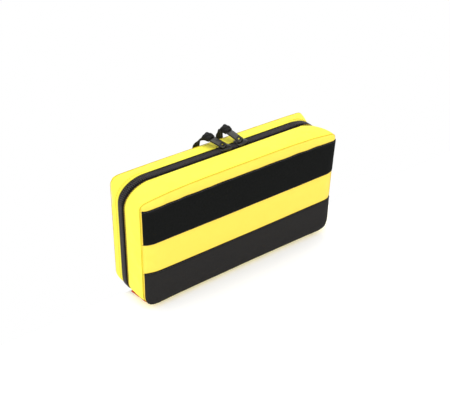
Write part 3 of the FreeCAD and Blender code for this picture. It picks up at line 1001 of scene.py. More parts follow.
@dataclass(frozen=True)
class Pouch:
    """The pouch's main sizes, from the frame and how far its stuffing swells it, and its outlines."""

    front: float = cad("base_outer_panel")[0].y - 0.9 * MM
    front_seam: float = cad("base_outer_panel")[1].y - 2.7 * MM
    front_floor: float = cad("base_lining_panel")[0].y
    zip_front: float = cad("base_gusset")[1].y + 0.6 * MM
    zip_rear: float = cad("lid_gusset")[0].y - 0.6 * MM
    rear_floor: float = cad("lid_lining_panel")[1].y
    rear_seam: float = cad("lid_outer_panel")[0].y + 2.4 * MM
    rear: float = cad("lid_outer_panel")[1].y + 2.2 * MM
    half: float = cad("base_outer_panel")[1].x
    tall: float = cad("base_outer_panel")[1].z

    @property
    def zip_line(self) -> float:
        """The middle of the zip, from front to rear."""
        return (self.zip_front + self.zip_rear) / 2

    @property
    def front_outline(self) -> Outline:
        """The outline at the front seam, with nearly sharp top corners that droop."""
        return Outline(self.half + 0.6 * MM, self.tall, 6 * MM, 6 * MM, 20 * MM, 6.0 * MM, 3.2 * MM)

    @property
    def zip_outline(self) -> Outline:
        """The outline at the zip, with long round top corners."""
        return Outline(self.half + 1.0 * MM, self.tall, 36 * MM, 27 * MM, 19 * MM)

    @property
    def rear_outline(self) -> Outline:
        """The outline at the rear seam."""
        return Outline(self.half + 0.6 * MM, self.tall, 11 * MM, 10 * MM, 19 * MM, 1.0 * MM)

    def seam(self, tray: Tray) -> float:
        """Where the seam round a tray's panel lies."""
        return self.front_seam if tray is Tray.FRONT else self.rear_seam

    def floor(self, tray: Tray) -> float:
        """Where the inside of a tray's panel lies."""
        return self.front_floor if tray is Tray.FRONT else self.rear_floor

    def hem(self, tray: Tray) -> float:
        """Where a tray's folded hem lies at the zip."""
        return self.zip_front if tray is Tray.FRONT else self.zip_rear

    def at(self, y: float) -> Outline:
        """The outline at y.

        Args:
            y: the distance from front to rear.

        Returns:
            The outline there.
        """
        if y <= self.zip_front:
            share = min(max((y - self.front_seam) / (self.zip_front - self.front_seam), 0), 1)
            return self.front_outline.mixed(self.zip_outline, share ** 1.6)
        share = min(max((y - self.zip_rear) / (self.rear_seam - self.zip_rear), 0), 1)
        return self.zip_outline.mixed(self.rear_outline, share)


POUCH = Pouch()


def wander(x: Array, seed: int, wave: float) -> Array:
    """A slow smooth unevenness from -1 to 1 along a length.

    Args:
        x: the places.
        seed: the seed of its chance.
        wave: its longest wave.

    Returns:
        The unevenness.
    """
    rng = np.random.default_rng(seed)
    total = np.zeros_like(x, float)
    for k in range(1, 4):
        total += np.sin(x * 2 * math.pi * k / wave + rng.uniform(0, 2 * math.pi)) / k
    return total / 1.8


# ---------------------------------------------------------------- padded panels and side walls


def puff(piece: Piece, pinned: list[int], cap: float, pressure: float = 4.0, frames: int = 20) -> None:
    """Swell a padded piece as cloth with its seams held, and keep the result in its mesh.

    Args:
        piece: the closed padded piece.
        pinned: the vertices that the seams hold.
        cap: the furthest that a point may move.
        pressure: the pressure of the filling.
        frames: how long it settles.
    """
    group = piece.vertex_groups.new(name="seams")
    group.add(pinned, 1.0, "REPLACE")
    start = np.array([v.co for v in piece.data.vertices])
    cloth = piece.modifiers.new("cloth", "CLOTH")
    settings = cloth.settings
    settings.quality, settings.mass = 6, 0.3
    settings.use_pressure, settings.uniform_pressure_force = True, pressure
    settings.effector_weights.gravity = 0.0
    settings.vertex_group_mass = "seams"
    settings.tension_stiffness = settings.compression_stiffness = 40.0
    settings.bending_stiffness = 8.0
    settings.shrink_min = -0.006
    cloth.collision_settings.use_collision = False
    cloth.point_cache.frame_start, cloth.point_cache.frame_end = 1, frames
    scene = bpy.context.scene
    for frame in range(1, frames + 1):
        scene.frame_set(frame)
    apply_modifiers(piece)
    scene.frame_set(1)
    end = np.array([v.co for v in piece.data.vertices])
    move = end - start
    far = np.linalg.norm(move, axis=1)[:, None]
    move *= cap * np.tanh(far / cap) / np.maximum(far, 1e-9)
    piece.data.vertices.foreach_set("co", (start + move).ravel())
    piece.data.update()
    piece.vertex_groups.clear()


@dataclass
class PaddedPanel:
    """The padded front or rear panel: a rolled edge all round, and a slight crown.

    Attributes:
        tray: which half it belongs to.
        roll: how wide the rolled edge is, along the panel.
        crown: how far the middle stands out over the edge of the flat.
        step: the distance between its points.
    """

    tray: Tray
    roll: float = 10 * MM
    crown: float = 0.7 * MM
    step: float = 3.0 * MM

    @property
    def plane(self) -> float:
        """Where its outer face lies."""
        return POUCH.front if self.tray is Tray.FRONT else POUCH.rear

    @property
    def seam(self) -> float:
        """Where the seam round it lies."""
        return POUCH.seam(self.tray)

    @property
    def outline(self) -> Outline:
        """The outline of its seam."""
        return POUCH.front_outline if self.tray is Tray.FRONT else POUCH.rear_outline

    def face(self, x: Array, z: Array) -> Array:
        """The outer face's y over points of the full rectangle.

        Args:
            x: their x.
            z: their z.

        Returns:
            Their y.
        """
        edge = np.minimum(POUCH.half - np.abs(x), np.minimum(z, POUCH.tall - z))
        share = np.clip(edge / self.roll, 0, 1)
        rolled = np.sqrt(np.clip(1 - (1 - share) ** 2.2, 0, 1))
        swell = (1 - (x / POUCH.half) ** 2) * (1 - (2 * z / POUCH.tall - 1) ** 2)
        ripple = 0.22 * MM * (wander(x, 3, 0.11) * wander(z, 5, 0.09))
        out = (self.plane - self.seam) * rolled * 0.985
        way = math.copysign(1, out[out != 0][0])
        return self.seam + out + way * (self.crown * swell * rolled + ripple * rolled)

    def build(self) -> Piece:
        """Build the panel as a closed pad and swell it.

        Returns:
            The panel.
        """
        columns, rows = round(2 * POUCH.half / self.step), round(POUCH.tall / self.step)
        # the border rows are closer together, so that the rolled edge stays round
        u = np.linspace(-1, 1, columns + 1)
        v = np.linspace(-1, 1, rows + 1)
        ease_u = np.sign(u) * (1 - (1 - np.abs(u)) ** 1.12)
        ease_v = np.sign(v) * (1 - (1 - np.abs(v)) ** 1.25)
        x, z = np.meshgrid(ease_u * POUCH.half, (ease_v + 1) / 2 * POUCH.tall)
        y = self.face(x, z)
        sx, sz = self.outline.squeeze(x, z)
        front = np.stack([sx, y, sz], -1).reshape(-1, 3)
        floor = POUCH.floor(self.tray) - self.tray.sign * 0.1 * MM
        inner = np.clip(np.minimum(POUCH.half - np.abs(x), np.minimum(z, POUCH.tall - z)) / (5 * MM), 0, 1)
        back = np.stack([sx * 0.999, self.seam + (floor - self.seam) * inner, sz], -1).reshape(-1, 3)
        n = columns + 1
        faces = grid_faces(rows + 1, n)
        total = len(front)
        border = {r * n + c for r in range(rows + 1) for c in range(n) if r in (0, rows) or c in (0, columns)}
        back_number = {i: (i if i in border else total + i) for i in range(total)}
        faces += [tuple(back_number[i] for i in f)[::-1] for f in faces]
        points = np.concatenate([front, back])
        uv = np.concatenate([np.stack([x.ravel(), z.ravel()], -1)] * 2)
        # the front panel takes the yellow cloth with painted shade, darker where its face gets less light
        finish = YELLOW_PAINTED_SHADE if self.tray is Tray.FRONT else YELLOW
        piece = make_piece(f"{self.tray.word}_panel", points, faces, finish, uv)
        close_up(piece)
        seam_y = self.seam
        pinned = [v.index for v in piece.data.vertices if abs(v.co.y - seam_y) < 0.6 * MM]
        puff(piece, pinned, cap=1.2 * MM)
        subdivide(piece)
        tray = self.tray.value
        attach(piece, tray)
        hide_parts(f"{tray}_outer_panel", f"{tray}_foam_panel")
        return piece


@dataclass
class SideWall:
    """The padded band of one tray, from its panel's seam to its folded hem at the zip.

    Attributes:
        tray: which half it belongs to.
        bulge: how far it stands out between its seams.
        hem: how wide the flat stitched hem beside the zip is.
        rows: how many rings of points it has between its seams.
    """

    tray: Tray
    bulge: float = 1.1 * MM
    hem: float = 3.0 * MM
    rows: int = 12

    @property
    def ends(self) -> tuple[float, float]:
        """Where it starts, at the panel's seam, and where its hem lies at the zip."""
        return POUCH.seam(self.tray), POUCH.hem(self.tray)

    def ring(self, y: float, inset: float, out: float = 0.0) -> Array:
        """One ring of points round the pouch at y.

        Args:
            y: where it lies.
            inset: how far inside the outline it lies.
            out: how far its padding stands out.

        Returns:
            The points.
        """
        outline = POUCH.at(y)
        points, outward = outline.loop()
        flat = np.clip((points[:, 1] - 1 * MM) / (14 * MM), 0, 1)
        shift = -inset + out * flat
        moved = points + outward * shift[:, None]
        moved[:, 1] = np.maximum(moved[:, 1], inset)
        uneven = wander(np.arange(len(points)) * 1.0, 11, 61.0)
        ripple = 0.35 * MM * uneven * flat * min(1.0, out / (0.4 * MM))
        moved += outward * ripple[:, None]
        return np.stack([moved[:, 0], np.full(len(moved), y), moved[:, 1]], -1)

    def build(self) -> Piece:
        """Build the wall as a closed padded band and swell it.

        Returns:
            The wall.
        """
        start, end = self.ends
        sign = self.tray.sign
        fold = 0.5 * MM
        rings = [self.ring(start - sign * 0.2 * MM, 1.6 * MM), self.ring(start, 0.7 * MM)]
        for i in range(1, self.rows):
            share = i / self.rows
            y = start + (end - start) * share
            rise = math.sin(math.pi * min(1.0, share * 1.02)) ** 0.6
            near_hem = min(1.0, abs(end - y) / self.hem)
            rings.append(self.ring(y, 0.0, self.bulge * rise * near_hem**0.5))
        rings.append(self.ring(end - sign * 1.2 * MM, 0.0))
        rings.append(self.ring(end - sign * 0.3 * MM, 0.12 * MM))
        rings.append(self.ring(end, fold))
        rings.append(self.ring(end - sign * 0.3 * MM, 2 * fold))
        lap = 4 * MM
        rings.append(self.ring(end - sign * lap, 1.05 * MM))
        rings.append(self.ring(end - sign * (lap + 1 * MM), 3.9 * MM))
        rings.append(self.ring(POUCH.floor(self.tray) + sign * 0.3 * MM, 3.9 * MM))
        count = len(rings[0])
        points = np.concatenate(rings)
        faces = grid_faces(len(rings), count, closed=True)
        last = (len(rings) - 1) * count
        faces += [(last + c, last + (c + 1) % count, (c + 1) % count, c) for c in range(count)]
        round_it = run_along(rings[4])
        uv = np.concatenate([np.stack([round_it, ring[:, 1]], -1) for ring in rings])
        piece = make_piece(f"{self.tray.word}_side_wall", points, faces, YELLOW, uv)
        close_up(piece)
        held = [i for i in range(len(points)) if i // count < 2 or i // count >= self.rows]
        held += [i for i in range(len(points)) if points[i][2] < 4 * MM]
        puff(piece, sorted(set(held)), cap=1.0 * MM, pressure=3.0)
        subdivide(piece)
        tray = self.tray.value
        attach(piece, tray)
        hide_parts(f"{tray}_gusset", f"{tray}_gusset_foam")
        return piece


# ---------------------------------------------------------------- strips, linings, bindings


def settle(piece: Piece, body: str, slot: str, *nodes: str) -> Piece:
    """Tie a piece to its body and hide the CAD nodes that it stands for.

    Args:
        piece: the finished piece.
        body: the CAD body it rides on.
        slot: the record's material slot; not used.
        nodes: the CAD nodes it replaces.

    Returns:
        The same piece.
    """
    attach(piece, body)
    if nodes:
        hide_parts(*nodes)
    return piece


def closed_sheet(name: str, outer: Array, inner: Array, finish: Finish, uv: Array) -> Piece:
    """A sheet with thickness, from matching grids of its two faces.

    Args:
        name: the piece's name.
        outer: (rows, columns, 3) points of one face.
        inner: the same for the other face.
        finish: what it is made of.
        uv: (rows, columns, 2) places in metres.

    Returns:
        The closed sheet.
    """
    rows, columns = outer.shape[:2]
    total = rows * columns
    faces = grid_faces(rows, columns)
    faces += [tuple(total + i for i in f)[::-1] for f in faces]
    border = [c for c in range(columns)] + [r * columns + columns - 1 for r in range(1, rows)]
    border += [(rows - 1) * columns + c for c in range(columns - 2, -1, -1)]
    border += [r * columns for r in range(rows - 2, 0, -1)]
    for a, b in zip(border, border[1:] + border[:1]):
        faces.append((b, a, total + a, total + b))
    points = np.concatenate([outer.reshape(-1, 3), inner.reshape(-1, 3)])
    return face_outwards(make_piece(name, points, faces, finish, np.concatenate([uv.reshape(-1, 2)] * 2)))


@dataclass
class LoopStrip:
    """A wide strip of loop tape sewn over the front panel, its ends caught in the seam.

    Attributes:
        node: the CAD node that it stands for.
        low: its lower edge, or None for the node's own.
        high: its upper edge, or None for the node's own.
        finish: what its pile is made of.
        pile: how thick the napped middle is.
        selvedge: how wide each flat woven edge is.
    """

    node: str
    low: float | None = None
    high: float | None = None
    finish: Finish = LOOP_PILE
    pile: float = 1.25 * MM
    selvedge: float = 2.0 * MM

    def rows(self) -> tuple[Array, Array]:
        """The heights of its rows of points, and how thick it is at each.

        Returns:
            The heights and the thicknesses.
        """
        box_low, box_high = cad(self.node)
        low = box_low.z if self.low is None else self.low
        high = box_high.z if self.high is None else self.high
        edge = np.array([0.0, 0.25, 0.8]) * MM
        inner = np.linspace(low + self.selvedge, high - self.selvedge, 20)
        z = np.concatenate([low + edge, inner[:1] - 0.3 * MM, inner, inner[-1:] + 0.3 * MM,
                            high - edge[::-1]])
        thick = np.concatenate([[0.1, 0.6, 0.75, 0.78], np.ones(20), [0.78, 0.75, 0.6, 0.1]])
        return z, thick * self.pile

    def surface(self, panel: Piece, heights: Array, columns: int = 150) -> tuple[Array, Array, Array]:
        """Lay rows of points on the finished panel.

        Args:
            panel: the panel that it is sewn to.
            heights: the height of each row, on the full rectangle.
            columns: how many points each row has.

        Returns:
            The points, their outward directions and their (x, z) places on the full rectangle.
        """
        front = PaddedPanel(Tray.FRONT)
        u = np.linspace(-1, 1, columns)
        x = np.sign(u) * (1 - (1 - np.abs(u)) ** 1.25) * (POUCH.half - 0.9 * MM)
        x, z = np.meshgrid(x, heights)
        sink = front.outline.sink(x)
        z = np.where(z > POUCH.tall / 2, (z - 0.8 * sink) / (1 - 0.8 * sink / (POUCH.tall / 2)), z)
        sx, sz = front.outline.squeeze(x, z)
        points = np.stack([sx, front.face(x, z), sz], -1)
        tree = BVHTree.FromPolygons([v.co[:] for v in panel.data.vertices],
                                    [list(p.vertices) for p in panel.data.polygons])
        for r in range(points.shape[0]):
            for c in range(columns):
                points[r, c] = tree.find_nearest(points[r, c])[0]
        right = np.gradient(points, axis=1)
        up = np.gradient(points, axis=0)
        normal = normed(np.cross(right, up))
        for _ in range(3):
            normal[1:-1] = (normal[:-2] + normal[1:-1] + normal[2:]) / 3
            normal[:, 1:-1] = (normal[:, :-2] + normal[:, 1:-1] + normal[:, 2:]) / 3
        return points, normed(normal), np.stack([x, z], -1)

    def build(self, panel: Piece) -> list[Piece]:
        """Build the strip and its two rows of stitches.

        Args:
            panel: the finished front panel.

        Returns:
            The strip and its stitches.
        """
        z, thick = self.rows()
        points, normal, uv = self.surface(panel, z)
        outer = points + normal * (thick[:, None, None] + 0.02 * MM)
        inner = points - normal * 0.15 * MM
        strip = closed_sheet(self.node, outer, inner, self.finish, uv)
        strip.data.materials.append(BINDING.material())
        edge = (z[0] + self.selvedge - 0.1 * MM, z[-1] - self.selvedge + 0.1 * MM)
        for face in strip.data.polygons:
            height = np.mean([strip.data.uv_layers[0].data[i].uv.y for i in face.loop_indices])
            if height < edge[0] or height > edge[1]:
                face.material_index = 1
        settle(strip, "base", "loop_pile", self.node)
        rows = np.array([z[0] + 1.1 * MM, z[0] + 1.2 * MM, z[-1] - 1.2 * MM, z[-1] - 1.1 * MM])
        lines, outward, _ = self.surface(panel, rows)
        lift = 0.8 * self.pile
        paths = [(lines[k] + outward[k] * lift, outward[k]) for k in (0, 3)]
        stitches = Repeater(3.2 * MM, BLACK_THREAD, 0.06, 4).along(
            f"{self.node}_stitches", capsule(2.5 * MM, 0.55 * MM, 0.5 * MM, arch=0.1 * MM), paths)
        return [strip, settle(stitches, "base", "loop_pile")]


def edge_of(y: float) -> float:
    """The nearer edge of the zip's opening to y, or y itself where the hem covers it.

    Args:
        y: a place across the zip.

    Returns:
        The edge.
    """
    if y <= POUCH.zip_front or y >= POUCH.zip_rear:
        return y
    return POUCH.zip_front if y < POUCH.zip_line else POUCH.zip_rear


def sweep_round(name: str, profile: list[tuple[float, float]], finish: Finish,
                part: tuple[int, int] | None = None) -> Piece:
    """Sweep a closed cross-section round the pouch's outline.

    Args:
        name: the piece's name.
        profile: the cross-section's (y, inset) points.
        finish: what it is made of.
        part: the first and last loop step, or None for all the way round.

    Returns:
        The closed band.
    """
    rings, uv = [], []
    for y, inset in profile:
        points, outward = POUCH.at(y).loop()
        swell = 0 if part is None else zip_swell(points) * min(1.0, abs(y - edge_of(y)) / (3 * MM))
        moved = (points - outward * (inset - swell)[..., None] if part is not None
                 else points - outward * inset)
        moved[:, 1] = np.maximum(moved[:, 1], 0.5 * inset)
        ring = np.stack([moved[:, 0], np.full(len(moved), y), moved[:, 1]], -1)
        ring = ring if part is None else ring[part[0]:part[1] + 1]
        rings.append(ring)
        length = run_along(ring)
        uv.append(np.stack([length, np.full(len(ring), y)], -1))
    rings.append(rings[0])
    uv.append(uv[0])
    count, rows = len(rings[0]), len(rings)
    faces = grid_faces(rows, count, closed=part is None)
    if part is not None:
        faces.append(tuple(r * count for r in range(rows - 1)))
        faces.append(tuple(r * count + count - 1 for r in range(rows - 1))[::-1])
    piece = make_piece(name, np.concatenate(rings), faces, finish, np.concatenate(uv))
    return face_outwards(piece)


@dataclass
class PanelSeam:
    """A thin darker golden cord of painted shade, laid in the seam crease round the front or rear panel.

    Attributes:
        tray: which half it belongs to.
    """

    tray: Tray

    def build(self) -> Piece:
        """Build the cord.

        Returns:
            The cord.
        """
        seam = POUCH.seam(self.tray)
        turn = np.linspace(0, 2 * math.pi, 8, endpoint=False)
        profile = [(seam + 0.34 * MM * math.cos(a), -0.05 * MM + 0.34 * MM * math.sin(a)) for a in turn]
        # the cord's darker golden colour is painted shade of the seam crease
        piece = sweep_round(f"{self.tray.word}_seam_cord", profile, SEAM_CREASE_SHADE)
        return settle(piece, self.tray.value, "shell")


@dataclass
class TrayLining:
    """The lining of one tray: a softly quilted floor and the wall round it.

    Attributes:
        tray: which half it belongs to.
        quilt: how far the quilting stands up.
    """

    tray: Tray
    quilt: float = 0.35 * MM

    def build(self) -> Piece:
        """Build the lining as one piece.

        Returns:
            The lining.
        """
        sign, seam, hem = self.tray.sign, POUCH.floor(self.tray), POUCH.hem(self.tray)
        u, v = np.linspace(-1, 1, 90), np.linspace(-1, 1, 48)
        outline = POUCH.at(seam).inset(1.2 * MM)
        x, z = np.meshgrid(u * outline.half, (v + 1) / 2 * (outline.tall - 1.2 * MM) + 1.2 * MM)
        sx, sz = outline.squeeze(x, z)
        sz = np.maximum(sz, 1.2 * MM)
        pillow = np.abs(np.sin(x * math.pi / 0.047) * np.sin(z * math.pi / 0.049)) ** 0.5 * self.quilt
        face = seam + sign * (0.5 * MM + pillow)
        outer = np.stack([sx, face, sz], -1)
        inner = np.stack([sx, np.full_like(face, seam + sign * 0.08 * MM), sz], -1)
        name = f"{self.tray.word}_tray_lining"
        floor = closed_sheet(name, outer, inner, LINING, np.stack([x, z], -1))
        start, end = seam + sign * 0.95 * MM, hem - sign * 4.0 * MM
        steps = np.linspace(start, end, 6)
        profile = [(y, 4.0 * MM) for y in steps]
        profile += [(y, 4.8 * MM + 0.2 * MM * math.sin(i * 1.3)) for i, y in enumerate(steps[::-1])]
        wall = sweep_round(name + "_wall", profile, LINING)
        tray = self.tray.value
        return settle(join(name, floor, wall), tray, "lining",
                      f"{tray}_lining_panel", f"{tray}_gusset_lining")


@dataclass
class SeamBinding:
    """The grosgrain that wraps the foam's raw edge along one tray's mouth.

    Attributes:
        tray: which half it belongs to.
    """

    tray: Tray

    def build(self) -> Piece:
        """Build the binding.

        Returns:
            The binding.
        """
        sign, end = self.tray.sign, POUCH.hem(self.tray)
        start = end - sign * 3.9 * MM
        profile = [(start, 2.6 * MM), (start + sign * 0.5 * MM, 1.9 * MM), (end - sign * 0.8 * MM, 1.85 * MM),
                   (end, 2.3 * MM), (end + sign * 0.15 * MM, 3.2 * MM), (end, 4.2 * MM),
                   (end - sign * 0.8 * MM, 4.75 * MM), (start + sign * 0.5 * MM, 5.0 * MM), (start, 4.4 * MM)]
        piece = sweep_round(f"{self.tray.word}_mouth_binding", profile, BINDING)
        return settle(piece, self.tray.value, "binding", f"{self.tray.value}_seam_binding")


# ---------------------------------------------------------------- the zip


# the numbers of the outline's points where the zip starts and ends
CHAIN_ENDS = (44, 248)
# how many points short of its path's end the coil stops
CHAIN_TRIM = 7


def zip_swell(points: Array) -> Array:
    """How far the zip stands out at (x, z) points: not on the sliders' straight top, more down the sides.

    Args:
        points: (x, z) points round the outline.

    Returns:
        How far each stands out.
    """
    side = np.clip((np.abs(points[:, 0]) - 92 * MM) / (30 * MM), 0, 1)
    low = np.clip((points[:, 1] - 6 * MM) / (20 * MM), 0, 1)
    return 1.3 * MM * side * side * (3 - 2 * side) * low


def chain_path(y: float, inset: float, skip: float = 0.0) -> tuple[Array, Array]:
    """The zip chain's path round the pouch.

    Args:
        y: where it runs.
        inset: how far inside the pouch's surface it runs.
        skip: how much of its start is left out.

    Returns:
        Evenly spaced points, and their outward directions.
    """
    flat, outward = POUCH.at(y).loop()
    flat = (flat - outward * (inset - zip_swell(flat))[:, None])[CHAIN_ENDS[0]:CHAIN_ENDS[1] + 1]
    outward = outward[CHAIN_ENDS[0]:CHAIN_ENDS[1] + 1]
    length = run_along(flat)
    stops = np.arange(skip, length[-1], 0.5 * MM)
    points = np.stack([np.interp(stops, length, flat[:, 0]), np.full(len(stops), y),
                       np.interp(stops, length, flat[:, 1])], -1)
    normals = np.stack([np.interp(stops, length, outward[:, 0]), np.zeros(len(stops)),
                        np.interp(stops, length, outward[:, 1])], -1)
    return points, normed(normals)


@dataclass
class Zip:
    """One side of the zip: its tape, coil, coil stitches, end stops and the top stitching beside it.

    Attributes:
        tray: which half it is sewn to.
        pitch: the distance from one coil turn to the next.
    """

    tray: Tray
    pitch: float = 2.4 * MM

    @property
    def sign(self) -> int:
        """The way towards the other side of the zip."""
        return self.tray.sign

    def tape(self) -> Piece:
        """The woven tape, from under the hem to the coil's inner edge.

        Returns:
            The tape.
        """
        edge = POUCH.hem(self.tray)
        start, end = edge - self.sign * 3.2 * MM, POUCH.zip_line - self.sign * 0.25 * MM
        steps = np.linspace(start, end, 7)
        profile = [(y, 1.06 * MM) for y in steps] + [(y, 1.74 * MM) for y in steps[::-1]]
        piece = sweep_round(f"{self.tray.word}_zip_tape", profile, ZIP_TAPE, CHAIN_ENDS)
        return settle(piece, self.tray.value, "zip_tape", f"{self.tray.value}_zip_tape")

    def coil(self) -> list[Piece]:
        """The coil's turns and the two threads that hold it down.

        Returns:
            The turns and the threads.
        """
        tray = self.tray.value
        y = POUCH.zip_line - self.sign * 2.0 * MM
        skip = 3.6 * MM + (0 if self.sign > 0 else self.pitch / 2)
        path = chain_path(y, 0.15 * MM, skip)
        path = (path[0][:-CHAIN_TRIM], path[1][:-CHAIN_TRIM])
        unit = capsule(5.0 * MM, 0.86 * MM, 1.7 * MM, sides=8, rings=5, across=True, arch=0.12 * MM)
        turns = Repeater(self.pitch, COIL).along(f"{self.tray.word}_zip_coil", unit, [path])
        shifts = (-self.sign * 0.9 * MM, self.sign * 0.35 * MM)
        rows = [chain_path(y + shift, -0.62 * MM, skip) for shift in shifts]
        thread = capsule(1.75 * MM, 0.42 * MM, 0.4 * MM, sides=5, rings=3, arch=0.08 * MM)
        threads = Repeater(self.pitch, BLACK_THREAD, 0.08, 7).along(
            f"{self.tray.word}_coil_threads", thread, [(p[:-CHAIN_TRIM], n[:-CHAIN_TRIM]) for p, n in rows])
        return [settle(turns, tray, "zip_coil", f"{tray}_zip_coil"), settle(threads, tray, "zip_coil")]

    def stops(self) -> Piece:
        """The metal stops clamped on the ends of the coil.

        Returns:
            The stops.
        """
        points, outward = chain_path(POUCH.zip_line - self.sign * 2.0 * MM, 0.1 * MM)
        pieces = []
        for start, ahead in ((3, 1), (len(points) - 4, -1)):
            along = Vector(points[start + ahead] - points[start]).normalized() * ahead
            up = Vector(outward[start])
            side = up.cross(along)
            turn = Matrix((along, side, up)).transposed().to_4x4()
            place = Matrix.Translation(Vector(points[start])) @ turn
            half = (1.6 * MM, 1.9 * MM)
            corners = [(-half[0], -half[1]), (half[0], -half[1]), (half[0], half[1]), (-half[0], half[1])]
            pieces.append(slab("stop", corners, -0.8 * MM, 1.15 * MM, GUNMETAL, place, 0.45 * MM))
        piece = join(f"{self.tray.word}_zip_stops", *pieces)
        return settle(piece, self.tray.value, "zip_metal", f"{self.tray.value}_zip_stops")

    def top_stitching(self) -> Piece:
        """The row of stitches that holds the tape, seen on the hem.

        Returns:
            The stitches.
        """
        edge = POUCH.hem(self.tray)
        points, outward = chain_path(edge - self.sign * 1.9 * MM, -0.12 * MM)
        unit = capsule(2.4 * MM, 0.5 * MM, 0.45 * MM, arch=0.1 * MM)
        piece = Repeater(3.1 * MM, YELLOW_THREAD, 0.06, 11).along(
            f"{self.tray.word}_hem_stitches", unit, [(points, outward)])
        return settle(piece, self.tray.value, "shell")

    def build(self) -> list[Piece]:
        """Build this side of the zip."""
        return [self.tape(), *self.coil(), self.stops(), self.top_stitching()]


@dataclass
class HingeStrip:
    """The strip of cloth between the two trays along the bottom, which bends as the lid opens.

    Attributes:
        rows: how many rows of points it has from front to rear.
    """

    rows: int = 33

    def build(self) -> Piece:
        """Build the strip flat between the trays.

        Returns:
            The strip.
        """
        low, high = cad("bottom_hinge")
        y = np.linspace(low.y + 0.05 * MM, high.y - 0.05 * MM, self.rows)
        x = np.linspace(low.x, high.x, 80)
        grid_x, grid_y = np.meshgrid(x, y)
        edge = np.clip(np.minimum(grid_x - low.x, high.x - grid_x) / (1 * MM), 0, 1) ** 0.5
        outer = np.stack([grid_x, grid_y, np.full_like(grid_x, 0.02 * MM) + 0.3 * MM * (1 - edge)], -1)
        inner = np.stack([grid_x, grid_y, np.full_like(grid_x, 0.9 * MM)], -1)
        piece = closed_sheet("hinge_strip", outer, inner, YELLOW, np.stack([grid_x, grid_y], -1))
        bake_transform(piece)
        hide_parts("bottom_hinge")
        return piece


@dataclass
class SideTab:
    """The narrow red tape sewn low on the left wall."""

    def build(self) -> Piece:
        """Build the tape along the wall's surface.

        Returns:
            The tape.
        """
        low, high = cad("red_side_tab")
        path = []
        for y in np.linspace(low.y, high.y - 0.3 * MM, 24):
            points, outward = POUCH.at(y).loop()
            side = np.arange(BOTTOM_STEPS, BOTTOM_STEPS + CORNER_STEPS + SIDE_STEPS)
            k = side[np.argmin(np.abs(points[side, 1] - high.z - 1.5 * MM))]
            path.append((points[k, 0] + outward[k, 0] * 1.1 * MM, y, points[k, 1] + outward[k, 1] * 1.1 * MM))
        piece = ribbon("red_side_tab", np.array(path), (-0.94, 0, -0.34), 3.4 * MM, 0.9 * MM, RED_TAPE)
        return settle(piece, "base", "red_tape", "red_side_tab")


# ---------------------------------------------------------------- sliders and pulls


JOINTS = {joint["name"]: joint for joint in FRAME["record"]["behaviour"]["joints"]}


@dataclass
class Slider:
    """One zip slider: two wings, the flanges between them, the wedge and the crown.

    Attributes:
        side: which slider it is.
        wing: how thick each wing is.
    """

    side: Side
    wing: float = 1.2 * MM

    def outline(self, wide: float, narrow: float, long: float) -> list[tuple[float, float]]:
        """The wing's outline, broad at the wedge and narrow where the coils leave together.

        Args:
            wide: its width at the wedge.
            narrow: its width at the tail.
            long: its length.

        Returns:
            The corners, seen from above.
        """
        half = [(1.0, 0.30), (0.97, 0.55), (0.88, 0.80), (0.66, 0.97), (0.40, 1.0), (0.0, 0.93)]
        back = [(-0.55, 0.80), (-0.82, 0.72), (-0.95, 0.55), (-1.0, 0.30)]
        points = [(x * long / 2, y * wide / 2) for x, y in half]
        points += [(x * long / 2, y * narrow / 2) for x, y in back]
        points = [(-self.side.value * x, y) for x, y in points]
        return points + [(x, -y) for x, y in points[::-1]]

    def build(self) -> list[Piece]:
        """Build the slider's body and its crown.

        Returns:
            The body and the crown.
        """
        word = self.side.word
        low, high = cad(f"{word}_slider_body")
        middle = (low + high) / 2
        long, wide = high.x - low.x, high.y - low.y
        place = Matrix.Translation(Vector((middle.x, middle.y, 0)))
        roof, floor = high.z - self.wing, low.z + self.wing
        plan = self.outline(wide, wide * 0.92, long)
        small = [(x * 0.93, y * 0.96) for x, y in plan]
        pieces = [
            slab("upper", plan, roof, high.z, SLIDER_METAL, place, 0.4 * MM),
            slab("lower", small, low.z, floor, SLIDER_METAL, place, 0.4 * MM),
        ]
        nose = -self.side.value
        for up in (1, -1):
            rail = [(nose * long * a / 2, up * wide * b / 2) for a, b in
                    ((0.86, 0.83), (0.5, 0.985), (0.0, 0.92), (-0.8, 0.70), (-0.8, 0.55), (0.0, 0.76),
                      (0.5, 0.82),
                     (0.86, 0.68))]
            pieces.append(slab("flange", rail, roof - 1.9 * MM, roof + 0.3 * MM, SLIDER_METAL, place,
                               0.25 * MM))
        post = [(nose * long * a / 2, b * MM) for a, b in ((0.8, -0.4), (0.8, 0.4), (0.62, 1.0), (0.45, 0.3),
                                                           (0.45, -0.3), (0.62, -1.0))]
        pieces.append(slab("wedge", post, floor - 0.2 * MM, roof + 0.2 * MM, SLIDER_METAL, place, 0.15 * MM))
        ridge = [(nose * long * a / 2, b * MM) for a, b in ((0.78, -1.6), (0.9, 0.0), (0.78, 1.6), (0.5, 1.0),
                                                            (0.5, -1.0))]
        pieces.append(slab("ridge", ridge, high.z - 0.2 * MM, high.z + 0.35 * MM, SLIDER_METAL, place,
                           0.15 * MM))
        body = join(f"{word}_slider", *pieces)
        crown_low, crown_high = cad(f"{word}_crown")
        reach, top = (crown_high.x - crown_low.x) / 2, crown_high.z
        arch = [(-reach + 0.5 * MM, 0, crown_low.z - 0.3 * MM), (-reach + 0.5 * MM, 0, top - 1.2 * MM),
                (-reach + 1.2 * MM, 0, top - 0.5 * MM), (reach - 1.2 * MM, 0, top - 0.5 * MM),
                (reach - 0.5 * MM, 0, top - 1.2 * MM), (reach - 0.5 * MM, 0, crown_low.z - 0.3 * MM)]
        arch = np.array(arch) + np.array((middle.x, middle.y, 0))
        crown = round_bar(f"{word}_crown", smooth_path(arch, 40), 0.5 * MM, SLIDER_METAL)
        return [settle(body, f"{word}_slider", "zip_metal", f"{word}_slider_body"),
                settle(crown, f"{word}_slider", "zip_metal", f"{word}_crown")]


